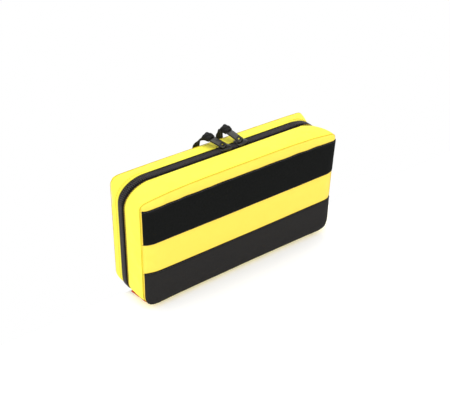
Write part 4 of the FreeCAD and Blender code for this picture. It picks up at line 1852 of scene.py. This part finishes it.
@dataclass
class Pull:
    """One pull: a flat metal tab, the tape hitched through its end and the tape's hanging tails.

    Attributes:
        side: which slider it hangs on.
        lean: how far the tab rises from the level, in degrees.
        long: the tab's length from its bar.
        wide: the tab's width.
        thick: the tab's thickness.
    """

    side: Side
    lean: float = 29.0
    long: float = 24 * MM
    wide: float = 11.8 * MM
    thick: float = 1.8 * MM

    @property
    def place(self) -> Matrix:
        """The pull's own axes: X along its bar, Y along the tab and Z out of its face.

        Returns:
            The axes.
        """
        joint = JOINTS[f"{self.side.word}_pull_swing"]
        axis = joint["axis"]
        yaw = math.atan2(axis[1], axis[0])
        return (Matrix.Translation(Vector(joint["pos_m"])) @ Matrix.Rotation(yaw, 4, "Z")
                @ Matrix.Rotation(math.radians(self.lean), 4, "X"))

    def tab(self) -> Piece:
        """The metal tab, with an eye for its bar and a slot for the tape.

        Returns:
            The tab.
        """
        cheek, half = 3.4 * MM, self.wide / 2
        columns = [-half, -half + cheek, half - cheek, half]
        rows = [0.0, 4.0 * MM, self.long - 5.2 * MM, self.long - 1.2 * MM, self.long]
        open_cells = {(0, 1), (2, 1)}
        cells = [(r, c) for r in range(4) for c in range(3) if (r, c) not in open_cells]
        points = [(x, y, z) for z in (-self.thick / 2, self.thick / 2) for y in rows for x in columns]
        layer = len(rows) * len(columns)
        faces = []
        for r, c in cells:
            a = r * 4 + c
            quad = (a, a + 1, a + 5, a + 4)
            faces += [quad[::-1], tuple(i + layer for i in quad)]
            for (i, j), near in (((a, a + 1), (r - 1, c)), ((a + 1, a + 5), (r, c + 1)),
                                 ((a + 5, a + 4), (r + 1, c)), ((a + 4, a), (r, c - 1))):
                if near not in cells:
                    faces.append((i, j, j + layer, i + layer))
        plate = face_outwards(make_piece("plate", np.array(points), faces, GUNMETAL))
        bevel(plate, 0.45 * MM, 3, 50)
        bar = round_bar("bar", np.array([(x * MM, 0, 0) for x in (-4.0, 0, 4.0)]), 0.55 * MM, GUNMETAL)
        lip = [(-half + 0.5 * MM, 6.2 * MM), (half - 0.5 * MM, 6.2 * MM), (half - 0.9 * MM, 17.0 * MM),
               (-half + 0.9 * MM, 17.0 * MM)]
        face = self.thick / 2 + 0.12 * MM
        raised = slab("raised", lip, -face, face, GUNMETAL, None, 0.1 * MM)
        piece = join(f"{self.side.word}_pull_tab", plate, bar, raised)
        piece.data.transform(self.place)
        return settle(piece, f"{self.side.word}_pull", "zip_metal", f"{self.side.word}_pull_tab")

    def hitch(self) -> Piece:
        """The folded tape knotted over the tab's end.

        Returns:
            The knot.
        """
        start, end = self.long - 5.9 * MM, self.long + 2.6 * MM
        middle = (start + end) / 2
        pieces = []
        for wide, thick, lean, shift in ((12.8, 6.6, -0.3, 0.0), (13.8, 7.8, -0.5, 1.2)):
            loop = []
            for a in np.linspace(0, 2 * math.pi, 36, endpoint=False):
                c, s = math.cos(a), math.sin(a)
                x = math.copysign(abs(c) ** 0.4, c) * (wide / 2 - 0.7) * MM
                z = math.copysign(abs(s) ** 0.65, s) * (thick / 2 - 0.7) * MM
                loop.append((x, middle + shift * MM + lean * x, z))
            loop = np.array(loop + loop[:1])
            width = (end - start) * (1.0 if shift == 0 else 0.42)
            pieces.append(ribbon("wrap", loop, (0, 1, 0), width, 1.3 * MM, PULL_TAPE))
        core = [(0, start + 0.6 * MM, 1.9 * MM), (0, middle, 2.1 * MM), (0, end - 0.2 * MM, 1.9 * MM),
                (0, end + 0.5 * MM, 0), (0, end - 0.2 * MM, -1.9 * MM), (0, middle, -2.1 * MM),
                (0, start + 0.6 * MM, -1.9 * MM)]
        pieces.append(ribbon("fold", smooth_path(core, 40), (1, 0, 0), self.wide * 0.97, 1.9 * MM, PULL_TAPE))
        piece = join(f"{self.side.word}_pull_hitch", *pieces)
        piece.data.transform(self.place)
        return settle(piece, f"{self.side.word}_pull", "binding", f"{self.side.word}_pull_hitch")

    def tails(self) -> Piece:
        """The tape's two ends, hanging from the knot behind the lid.

        Returns:
            The tails.
        """
        low = cad(f"{self.side.word}_pull_tail")[0]
        start = self.place @ Vector((0, self.long - 0.6 * MM, -3.2 * MM))
        bar = np.array(self.place.to_3x3() @ Vector((1, 0, 0)))
        edge = POUCH.rear + 3.0 * MM
        reach = 10.0 if self.side is Side.LEFT else -2.0
        pieces = []
        for k, (flare, spread, drop) in enumerate(((reach, 0.3, 8.0), (reach - 4.5, 0.1, 0.0))):
            path = smooth_path([
                self.place @ Vector((0, self.long - 4.6 * MM, (-2.0 - 0.9 * k) * MM)),
                start + Vector((0, 0, -0.9 * k * MM)),
                Vector((start.x - 0.42 * flare * MM, start.y * 0.4 + edge * 0.6,
                        start.z - (3.2 + 0.6 * k) * MM)),
                Vector((start.x - 0.75 * flare * MM, edge + (1.2 + k) * MM, start.z - 10.5 * MM)),
                Vector((start.x - 0.95 * flare * MM, edge + (1.0 + k) * MM, start.z - 26 * MM)),
                Vector((start.x - 1.1 * flare * MM, edge + k * MM, low.z + drop * MM)),
            ], 60)
            share = np.linspace(0, 1, 60)[:, None]
            turned = np.clip((share - 0.03) / 0.1, 0, 1)
            flat = np.clip((share - 0.2) / 0.2, 0, 1)
            free = bar[None] * (1 - 0.5 * turned) + np.array((0.1, -0.6, -0.66))[None] * 0.5 * turned
            across = free * (1 - flat) + np.array((1.0, 0.1, spread * 0.6))[None] * flat
            wide = 8.6 * MM + 1.5 * MM * (turned * (1 - flat))[:, 0]
            pieces.append(ribbon("tail", path, across, wide, 0.9 * MM, PULL_TAPE))
        piece = join(f"{self.side.word}_pull_tails", *pieces)
        return settle(piece, f"{self.side.word}_pull", "binding", f"{self.side.word}_pull_tail")

    def build(self) -> list[Piece]:
        """Build the pull."""
        return [self.tab(), self.hitch(), self.tails()]


# ---------------------------------------------------------------- what the pouch holds


def rolled(node: str, finish: Finish, turns: int, slack: float, start: float, seed: int) -> Piece:
    """A roll of bandage or tape, wound as one long spiral about X.

    Args:
        node: the CAD node that it stands for.
        finish: what it is wound from.
        turns: how many times it goes round.
        slack: the share of each turn that is air.
        start: the radius of the hole in its middle.
        seed: the seed of its unevenness.

    Returns:
        The closed spiral.
    """
    low, high = cad(node)
    middle, radius = (low + high) / 2, (high.z - low.z) / 2
    pitch = (radius - start) / (turns + 1)
    angle = np.linspace(0, 2 * math.pi * turns, turns * 30 + 1)
    wobble = 0.12 * pitch * np.sin(angle * 1.27 + seed) + 0.1 * pitch * np.sin(angle * 0.43 + 2 * seed)
    inner = start + pitch * angle / (2 * math.pi) + wobble * (angle < angle[-1] - 2 * math.pi)
    outer = inner + pitch * (1 - slack)
    outer = np.minimum(outer, radius)
    rows = []
    stations = [(low.x + 0.2 * MM, 0.85), (low.x + 0.7 * MM, 1.0), (middle.x, 1.0), (high.x - 0.7 * MM, 1.0),
                (high.x - 0.2 * MM, 0.85)]
    for x, share in stations:
        ring = []
        drift = 0.25 * MM * np.sin(angle * 0.9 + seed) * (1 if abs(x - middle.x) > 0.01 else 0)
        half, mean = (outer - inner) / 2 * share, (outer + inner) / 2
        for radii, order in ((mean + half, slice(None)), (mean - half, slice(None, None, -1))):
            ring.append(np.stack([x + drift * math.copysign(1, middle.x - x),
                                  middle.y + radii * np.cos(angle),
                                  middle.z + radii * np.sin(angle)], -1)[order])
        rows.append(np.concatenate(ring))
    ring_count, count = len(rows[0]), len(angle)
    faces = grid_faces(len(rows), ring_count, closed=True)
    for base, flip in ((0, False), ((len(rows) - 1) * ring_count, True)):
        for i in range(count - 1):
            a, b = base + i, base + i + 1
            c, d = base + ring_count - 2 - i, base + ring_count - 1 - i
            faces.append((a, b, c, d) if flip else (d, c, b, a))
    lengths = np.concatenate([angle * radius * 0.6, (angle * radius * 0.6)[::-1]])
    uv = np.concatenate([np.stack([lengths, np.full(ring_count, x)], -1) for x, _ in stations])
    return make_piece(node, np.concatenate(rows), faces, finish, uv)


def disc_at(name: str, place: Vector, radius: float, low: float, high: float, finish: Finish,
            edge: float) -> Piece:
    """A round disc about Y at a place, from low to high along Y.

    Args:
        name: the piece's name.
        place: its middle.
        radius: its radius.
        low: its front face.
        high: its rear face.
        finish: what it is made of.
        edge: the radius of its edges.

    Returns:
        The disc.
    """
    angles = np.linspace(0, 2 * math.pi, 32, endpoint=False)
    outline = [(radius * math.cos(a), radius * math.sin(a)) for a in angles]
    return slab(name, outline, -high, -low, finish, facing_front(place), edge)


def hoop(name: str, place: Vector, radius: float, wide: float, thick: float, finish: Finish) -> Piece:
    """A ring about Y with an oval section, wide across and thick along Y.

    Args:
        name: the piece's name.
        place: its middle.
        radius: its radius.
        wide: the section's width.
        thick: the section's depth.
        finish: what it is made of.

    Returns:
        The ring.
    """
    points = []
    for a in np.linspace(0, 2 * math.pi, 40, endpoint=False):
        for b in np.linspace(0, 2 * math.pi, 12, endpoint=False):
            r = radius + math.copysign(abs(math.cos(b)) ** 0.8, math.cos(b)) * wide / 2
            y = math.copysign(abs(math.sin(b)) ** 0.8, math.sin(b)) * thick / 2
            points.append((place.x + r * math.cos(a), place.y + y, place.z + r * math.sin(a)))
    faces = [(i * 12 + j, i * 12 + (j + 1) % 12, (i + 1) % 40 * 12 + (j + 1) % 12, (i + 1) % 40 * 12 + j)
             for i in range(40) for j in range(12)]
    return face_outwards(make_piece(name, np.array(points), faces, finish))


@dataclass
class Packet:
    """A sealed flat packet: a filled middle and a crimped border.

    Attributes:
        node: the CAD node that it stands for.
        finish: what it is made of.
        body: the CAD body that it lies in.
        slot: the record's material slot.
        crimp: how wide its sealed border is.
        seed: the seed of its wrinkles.
    """

    node: str
    finish: Finish
    body: str
    slot: str
    crimp: float = 5 * MM
    seed: int = 1

    def build(self) -> Piece:
        """Build the packet.

        Returns:
            The packet.
        """
        low, high = cad(self.node)
        middle, half = (low + high) / 2, (high - low) / 2
        columns, rows = 84, 56
        u, v = np.meshgrid(np.linspace(-1, 1, columns), np.linspace(-1, 1, rows))
        x, z = u * half.x, v * half.z
        edge = np.minimum(half.x - np.abs(x), half.z - np.abs(z))
        share = np.clip((edge - self.crimp) / min(half.z * 0.6, 16 * MM), 0, 1)
        fill = np.sqrt(np.clip(1 - (1 - share) ** 2.4, 0, 1))
        rng = np.random.default_rng(self.seed)
        wrinkle = np.zeros_like(x)
        for _ in range(5):
            a, wave = rng.uniform(0, math.pi), rng.uniform(0.012, 0.03)
            slant = x * math.cos(a) + z * math.sin(a)
            wrinkle += np.abs(np.sin(slant * math.pi / wave + rng.uniform(0, 6)))
        wrinkle = (wrinkle / 5 - 0.6) * min(half.y * 0.22, 0.7 * MM) * np.clip(fill, 0, 1)
        rib = np.where(half.x - np.abs(x) < half.z - np.abs(z), x, z)
        ridges = 0.1 * MM * np.sin(rib * math.pi / (0.9 * MM))
        ridges = ridges * (edge < self.crimp)
        ply = 0.22 * MM
        top = np.minimum((half.y - ply) * fill * 0.93 + wrinkle, half.y - ply) + ply + ridges
        bottom = -(half.y - ply) * fill * 0.98 - ply + ridges
        sag = (1 - fill) * (-half.y * 0.25)
        faces = [np.stack([middle.x + x, middle.y + np.clip(y + sag, -half.y, half.y), middle.z + z], -1)
                 for y in (top, bottom)]
        if self.body == "base":
            faces = faces[::-1]
        piece = closed_sheet(self.node, faces[0], faces[1], self.finish, np.stack([x, z], -1))
        return settle(piece, self.body, self.slot, self.node)


@dataclass
class Contents:
    """What the deep tray holds: rolls under elastic, scissors, tweezers and packets."""

    def rolls(self) -> list[Piece]:
        """The row of rolls and the elastic over them.

        Returns:
            The rolls, the core and the elastic.
        """
        made = []
        for node, finish, turns, slack, start, seed, slot in (
            ("wide_bandage_roll", CREPE, 9, 0.14, 2.6 * MM, 1, "bandage"),
            ("narrow_bandage_roll", CREPE, 8, 0.14, 2.6 * MM, 3, "bandage"),
            ("gauze_roll", GAUZE, 9, 0.2, 2.6 * MM, 5, "gauze"),
            ("adhesive_tape_roll", PLASTER_TAPE, 10, 0.04, 8.15 * MM, 7, "plaster_tape"),
        ):
            made.append(settle(rolled(node, finish, turns, slack, start, seed), "base", slot, node))
        low, high = cad("tape_roll_core")
        middle, radius = (low + high) / 2, (high.z - low.z) / 2
        rings = []
        for x, r in ((low.x, radius - 1.1 * MM), (low.x, radius - 0.1 * MM), (low.x + 0.3 * MM, radius),
                     (high.x - 0.3 * MM, radius), (high.x, radius - 0.1 * MM), (high.x, radius - 1.1 * MM),
                     (low.x, radius - 1.1 * MM)):
            a = np.linspace(0, 2 * math.pi, 40, endpoint=False)
            rings.append(np.stack([np.full(40, x), middle.y + r * np.cos(a), middle.z + r * np.sin(a)], -1))
        points = np.concatenate(rings)
        core = face_outwards(make_piece("tape_roll_core", points, grid_faces(7, 40, closed=True), BOARD,
                                        np.stack([points[:, 0], points[:, 2]], -1)))
        made.append(settle(core, "base", "core", "tape_roll_core"))
        low, high = cad("roll_elastic_band")
        z, front, back = (low.z + high.z) / 2, low.y, high.y - 0.5 * MM
        ends = (low.x + 0.5 * MM, high.x - 0.5 * MM)
        path = [(ends[0], front + 0.4 * MM, z), (ends[0], (front + back) / 2, z),
                (ends[0] + 0.3 * MM, back - 1 * MM, z)]
        path += [(x, back, z) for x in np.linspace(ends[0] + 2 * MM, ends[1] - 2 * MM, 26)]
        path += [(ends[1] - 0.3 * MM, back - 1 * MM, z), (ends[1], (front + back) / 2, z),
                 (ends[1], front + 0.4 * MM, z)]
        band = ribbon("roll_elastic_band", smooth_path(path, 200), (0, 0, 1), high.z - low.z,
                      0.9 * MM, ELASTIC)
        made.append(settle(band, "base", "elastic", "roll_elastic_band"))
        return made

    def scissors(self) -> list[Piece]:
        """Both halves of the scissors, the rivet, the backing patch and the loop over a finger ring.

        Returns:
            The pieces.
        """
        pivot = Vector(JOINTS["scissors_pivot"]["pos_m"])
        made = []
        for node, up, body in (("scissors_fixed_half", 1, "base"),
                               ("scissors_moving_half", -1, "scissors_arm")):
            low, high = cad(node)
            y, thick = (low.y + high.y) / 2, high.y - low.y
            turn = facing_front(Vector((pivot.x, y, pivot.z)))
            blade = [(-52, -up * 0.8), (-46, -up * 1.9), (4, -up * 4), (6, 0), (4, up * 4), (-8, up * 4),
                     (-26, up * 3), (-48, up * 0.6)]
            shank = [(-1, -3.2), (8, up * 1.2 - 3.0), (36, up * 12 - 2.4), (37.5, up * 12),
                     (36, up * 12 + 2.4),
                     (8, up * 2.2 + 2.8), (-1, 3.2)]
            flat = [slab("ply", [(x * MM, z * MM) for x, z in shape], -thick / 2, thick / 2, STEEL, turn,
                         0.3 * MM)
                    for shape in (blade, shank)]
            eye = Vector((pivot.x + 44 * MM, y, pivot.z + up * 12 * MM))
            ring = hoop("ring", eye, 8.2 * MM, 3.4 * MM, thick, STEEL)
            made.append(settle(join(node, *flat, ring), body, "steel", node))
        low, high = cad("scissors_rivet")
        rivet = [disc_at("head", Vector((pivot.x, 0, pivot.z)), r, a, b, STEEL, 0.2 * MM) for r, a, b in (
            (3.4 * MM, low.y, low.y + 0.75 * MM), (1.95 * MM, low.y + 0.4 * MM, high.y - 0.4 * MM),
            (3.4 * MM, high.y - 0.75 * MM, high.y))]
        made.append(settle(join("scissors_rivet", *rivet), "base", "steel", "scissors_rivet"))
        low, high = cad("scissors_patch")
        middle = (low + high) / 2
        path = np.array([(x, middle.y, middle.z) for x in np.linspace(low.x, high.x, 60)])
        patch = ribbon("scissors_patch", path, (0, 0, 1), high.z - low.z, high.y - low.y, BINDING)
        made.append(settle(patch, "base", "binding", "scissors_patch"))
        low, high = cad("scissors_loop")
        x = (low.x + high.x) / 2
        path = smooth_path([(x, low.y, low.z + 0.4 * MM), (x, high.y - 1.2 * MM, low.z + 0.4 * MM),
                            (x, high.y - 0.4 * MM, low.z + 1.4 * MM),
                             (x, high.y - 0.4 * MM, high.z - 1.4 * MM),
                            (x, high.y - 1.2 * MM, high.z - 0.4 * MM), (x, low.y, high.z - 0.4 * MM)], 60)
        loop = ribbon("scissors_loop", path, (1, 0, 0), high.x - low.x, 0.7 * MM, ELASTIC)
        made.append(settle(loop, "base", "elastic", "scissors_loop"))
        return made

    def tweezers(self) -> Piece:
        """The tweezers: two sprung legs joined at the top.

        Returns:
            The tweezers.
        """
        low, high = cad("tweezers")
        x = (low.x + high.x) / 2
        height = np.linspace(0, 1, 60)
        legs = []
        for side in (-1, 1):
            middle, reach = (low.y + high.y) / 2, (high.y - low.y) / 2 - 0.5 * MM
            spring = 0.72 * np.sin(np.clip(height * 1.35, 0, 1) * math.pi / 2)
            bow = 0.28 + spring - 0.6 * np.clip(height - 0.8, 0, 1) * 2
            path = np.stack([np.full(60, x), middle + side * reach * bow,
                             high.z - height * (high.z - low.z)], -1)
            wide = np.interp(height, [0, 0.15, 0.55, 0.9, 1.0], [6.5, 7.9, 7.6, 3.6, 1.8]) * MM
            legs.append(ribbon("leg", path, (1, 0, 0), wide, 0.95 * MM, STEEL))
        root = [(-3.1 * MM, 0), (3.1 * MM, 0), (3.9 * MM, -9 * MM), (-3.9 * MM, -9 * MM)]
        turn = facing_front(Vector((x, (low.y + high.y) / 2, high.z)))
        legs.append(slab("root", root, -1.1 * MM, 1.1 * MM, STEEL, turn, 0.4 * MM))
        return settle(join("tweezers", *legs), "base", "steel", "tweezers")

    def build(self) -> list[Piece]:
        """Build everything in the deep tray.

        Returns:
            The pieces.
        """
        packets = [Packet("sling_packet", PAPER, "base", "paper_packet", seed=2).build(),
                   Packet("glove_packet", FILM, "base", "film_packet", seed=4).build(),
                   Packet("wipes_packet", FILM, "base", "film_packet", 4 * MM, seed=6).build()]
        return [*self.rolls(), *self.scissors(), self.tweezers(), *packets]


@dataclass
class Pocket:
    """The lid's pocket: a net with an elastic edge, and the flat packets in it.

    Attributes:
        cell: the size of the net's holes.
        cord: how thick the net's threads are.
    """

    cell: float = 3.8 * MM
    cord: float = 0.5 * MM

    def surface(self, x: Array, z: Array) -> Array:
        """The net's y over points of its rectangle.

        Args:
            x: their x.
            z: their z.

        Returns:
            Their y.
        """
        low, high = cad("lid_mesh_pocket")
        edge = np.minimum(np.minimum(x - low.x, high.x - x), z - low.z)
        share = np.clip(edge / (8 * MM), 0, 1)
        depth = (high.y - low.y - 0.4 * MM) * np.sqrt(np.clip(1 - (1 - share) ** 2, 0, 1))
        return high.y - 0.1 * MM - depth - 0.3 * MM * wander(x, 9, 0.12) * share

    def net(self) -> Piece:
        """The knotted net, each thread a real one.

        Returns:
            The net.
        """
        low, high = cad("lid_mesh_pocket")
        across, tall = round((high.x - low.x) / self.cell), round((high.z - low.z) / self.cell)
        work = bmesh.new()
        corners = {}

        def corner(i: float, j: float) -> bmesh.types.BMVert:
            """The net's knot at a half step.

            Args:
                i: the step across.
                j: the step up.

            Returns:
                The knot.
            """
            if (i, j) not in corners:
                x = low.x + (high.x - low.x) * i / across
                z = low.z + (high.z - low.z) * j / tall
                corners[i, j] = work.verts.new((x, float(self.surface(np.array(x), np.array(z))), z))
            return corners[i, j]

        for j in range(tall):
            for i in range(across):
                middle = corner(i + 0.5, j + 0.5)
                ends = [corner(i, j), corner(i + 1, j), corner(i + 1, j + 1), corner(i, j + 1)]
                for a, b in zip(ends, ends[1:] + ends[:1]):
                    work.faces.new((a, b, middle))
        edges = [e for e in work.edges
                 if len({v.co.x for v in e.verts}) > 1 and len({v.co.z for v in e.verts}) > 1]
        keep = set(edges) | {e for e in work.edges if len(e.link_faces) == 1}
        bmesh.ops.dissolve_edges(work, edges=[e for e in work.edges if e not in keep], use_verts=False)
        mesh = bpy.data.meshes.new("pocket_net")
        work.to_mesh(mesh)
        work.free()
        mesh.materials.append(NET.material())
        piece = bpy.data.objects.new("pocket_net", mesh)
        bpy.context.collection.objects.link(piece)
        wires = piece.modifiers.new("threads", "WIREFRAME")
        wires.thickness, wires.use_even_offset, wires.use_boundary = self.cord, False, True
        apply_modifiers(piece)
        return settle(piece, "lid", "mesh", "lid_mesh_pocket")

    def elastic(self) -> Piece:
        """The gathered elastic along the pocket's mouth.

        Returns:
            The elastic.
        """
        low, high = cad("pocket_elastic")
        x = np.linspace(low.x, high.x, 260)
        z = (low.z + high.z) / 2
        y = self.surface(x, np.full_like(x, z)) - 0.75 * MM + 0.12 * MM * np.sin(x * math.pi / (2.4 * MM))
        path = np.stack([x, y, np.full_like(x, z) + 0.3 * MM * wander(x, 21, 0.1)], -1)
        piece = ribbon("pocket_elastic", path, (0, 0, 1), high.z - low.z, 0.9 * MM, ELASTIC)
        return settle(piece, "lid", "elastic", "pocket_elastic")

    def build(self) -> list[Piece]:
        """Build the pocket and what it holds.

        Returns:
            The pieces.
        """
        return [self.net(), self.elastic(),
                Packet("dressing_packet", PAPER, "lid", "paper_packet", seed=8).build(),
                Packet("plaster_packet", PAPER, "lid", "paper_packet", seed=10).build()]


# ---------------------------------------------------------------- stage


def build_stage() -> None:
    """The floor, the soft studio light and the camera."""
    scene = bpy.context.scene
    scene.view_settings.view_transform = "Standard"
    world = bpy.data.worlds.new("studio")
    world.use_nodes = True
    world.node_tree.nodes["Background"].inputs["Color"].default_value = (1, 1, 1, 1)
    world.node_tree.nodes["Background"].inputs["Strength"].default_value = 1.0
    scene.world = world
    paper = bpy.data.materials.new("white_paper")
    paper.use_nodes = True
    shader = paper.node_tree.nodes["Principled BSDF"]
    shader.inputs["Base Color"].default_value = (0.95, 0.95, 0.95, 1)
    shader.inputs["Roughness"].default_value = 0.9
    shader.inputs["Emission Color"].default_value = (1, 1, 1, 1)
    shader.inputs["Emission Strength"].default_value = 0.17
    far, edge, thin = 3.0, POUCH.zip_line, 0.0005
    points = [(x, y, z) for z in (-thin, -2 * thin) for x, y in
              ((-far, -far), (far, -far), (far, edge), (-far, edge))]
    faces = [(0, 1, 2, 3), (7, 6, 5, 4)] + [(i, i + 4, (i + 1) % 4 + 4, (i + 1) % 4) for i in range(4)]
    mesh = bpy.data.meshes.new("floor")
    mesh.from_pydata(points, [], faces)
    mesh.materials.append(paper)
    floor = bpy.data.objects.new("floor", mesh)
    bpy.context.collection.objects.link(floor)
    for name, place, size, power in (
        ("key", (-1.3, -0.5, 1.4), 1.2, 9.0),
        ("fill", (1.1, -0.9, 0.9), 1.4, 1.5),
        ("top", (0.0, 0.5, 1.6), 1.2, 8.0),
    ):
        light = bpy.data.lights.new(name, "AREA")
        light.size, light.energy = size, power
        lamp = bpy.data.objects.new(name, light)
        lamp.location = place
        lamp.rotation_mode = "QUATERNION"
        lamp.rotation_quaternion = (Vector((0, 0, 0.07)) - Vector(place)).to_track_quat("-Z", "Y")
        bpy.context.collection.objects.link(lamp)
    build_camera()


def build_camera() -> None:
    """A long lens from the front left and above."""
    azimuth, elevation, roll = (math.radians(a) for a in (-37.57, 33.41, 1.46))
    back = Vector((math.sin(azimuth) * math.cos(elevation), -math.cos(azimuth) * math.cos(elevation),
                   math.sin(elevation)))
    right = Vector((0, 0, 1)).cross(back).normalized()
    up = back.cross(right)
    turned = right * math.cos(roll) + up * math.sin(roll)
    upward = up * math.cos(roll) - right * math.sin(roll)
    target = Vector((0, -2.4 * MM, POUCH.tall / 2)) + turned * -5.2 * MM + upward * 7.4 * MM
    place = target + back * 0.9718
    camera = bpy.data.cameras.new("camera")
    camera.lens, camera.sensor_width = 64.0, 36.0
    body = bpy.data.objects.new("camera", camera)
    body.matrix_world = Matrix((
        (turned.x, upward.x, back.x, place.x), (turned.y, upward.y, back.y, place.y),
        (turned.z, upward.z, back.z, place.z), (0, 0, 0, 1)))
    bpy.context.collection.objects.link(body)
    bpy.context.scene.camera = body


def main() -> None:
    """Build every sub-assembly in order."""
    logging.basicConfig(level=logging.INFO, format="%(name)s: %(message)s")
    build_stage()
    panel = PaddedPanel(Tray.FRONT).build()
    made = [panel, PaddedPanel(Tray.REAR).build()]
    # the upper strip takes the loop pile with painted shade
    made += LoopStrip("upper_loop_strip", None, 138.4 * MM, LOOP_PILE_PAINTED_SHADE).build(panel)
    made += LoopStrip("lower_loop_strip", 1.0 * MM, 53.4 * MM).build(panel)
    for tray in Tray:
        made += [part(tray).build() for part in (SideWall, PanelSeam, TrayLining, SeamBinding)]
        made += Zip(tray).build()
    made += [HingeStrip().build(), SideTab().build()]
    for side in Side:
        made += Slider(side).build() + Pull(side, 20.0 if side is Side.LEFT else 29.0).build()
    made += Contents().build() + Pocket().build()
    for piece in made:
        LOG.info("made %s, %d faces", piece.name, len(piece.data.polygons))


if __name__ == "__main__":
    main()
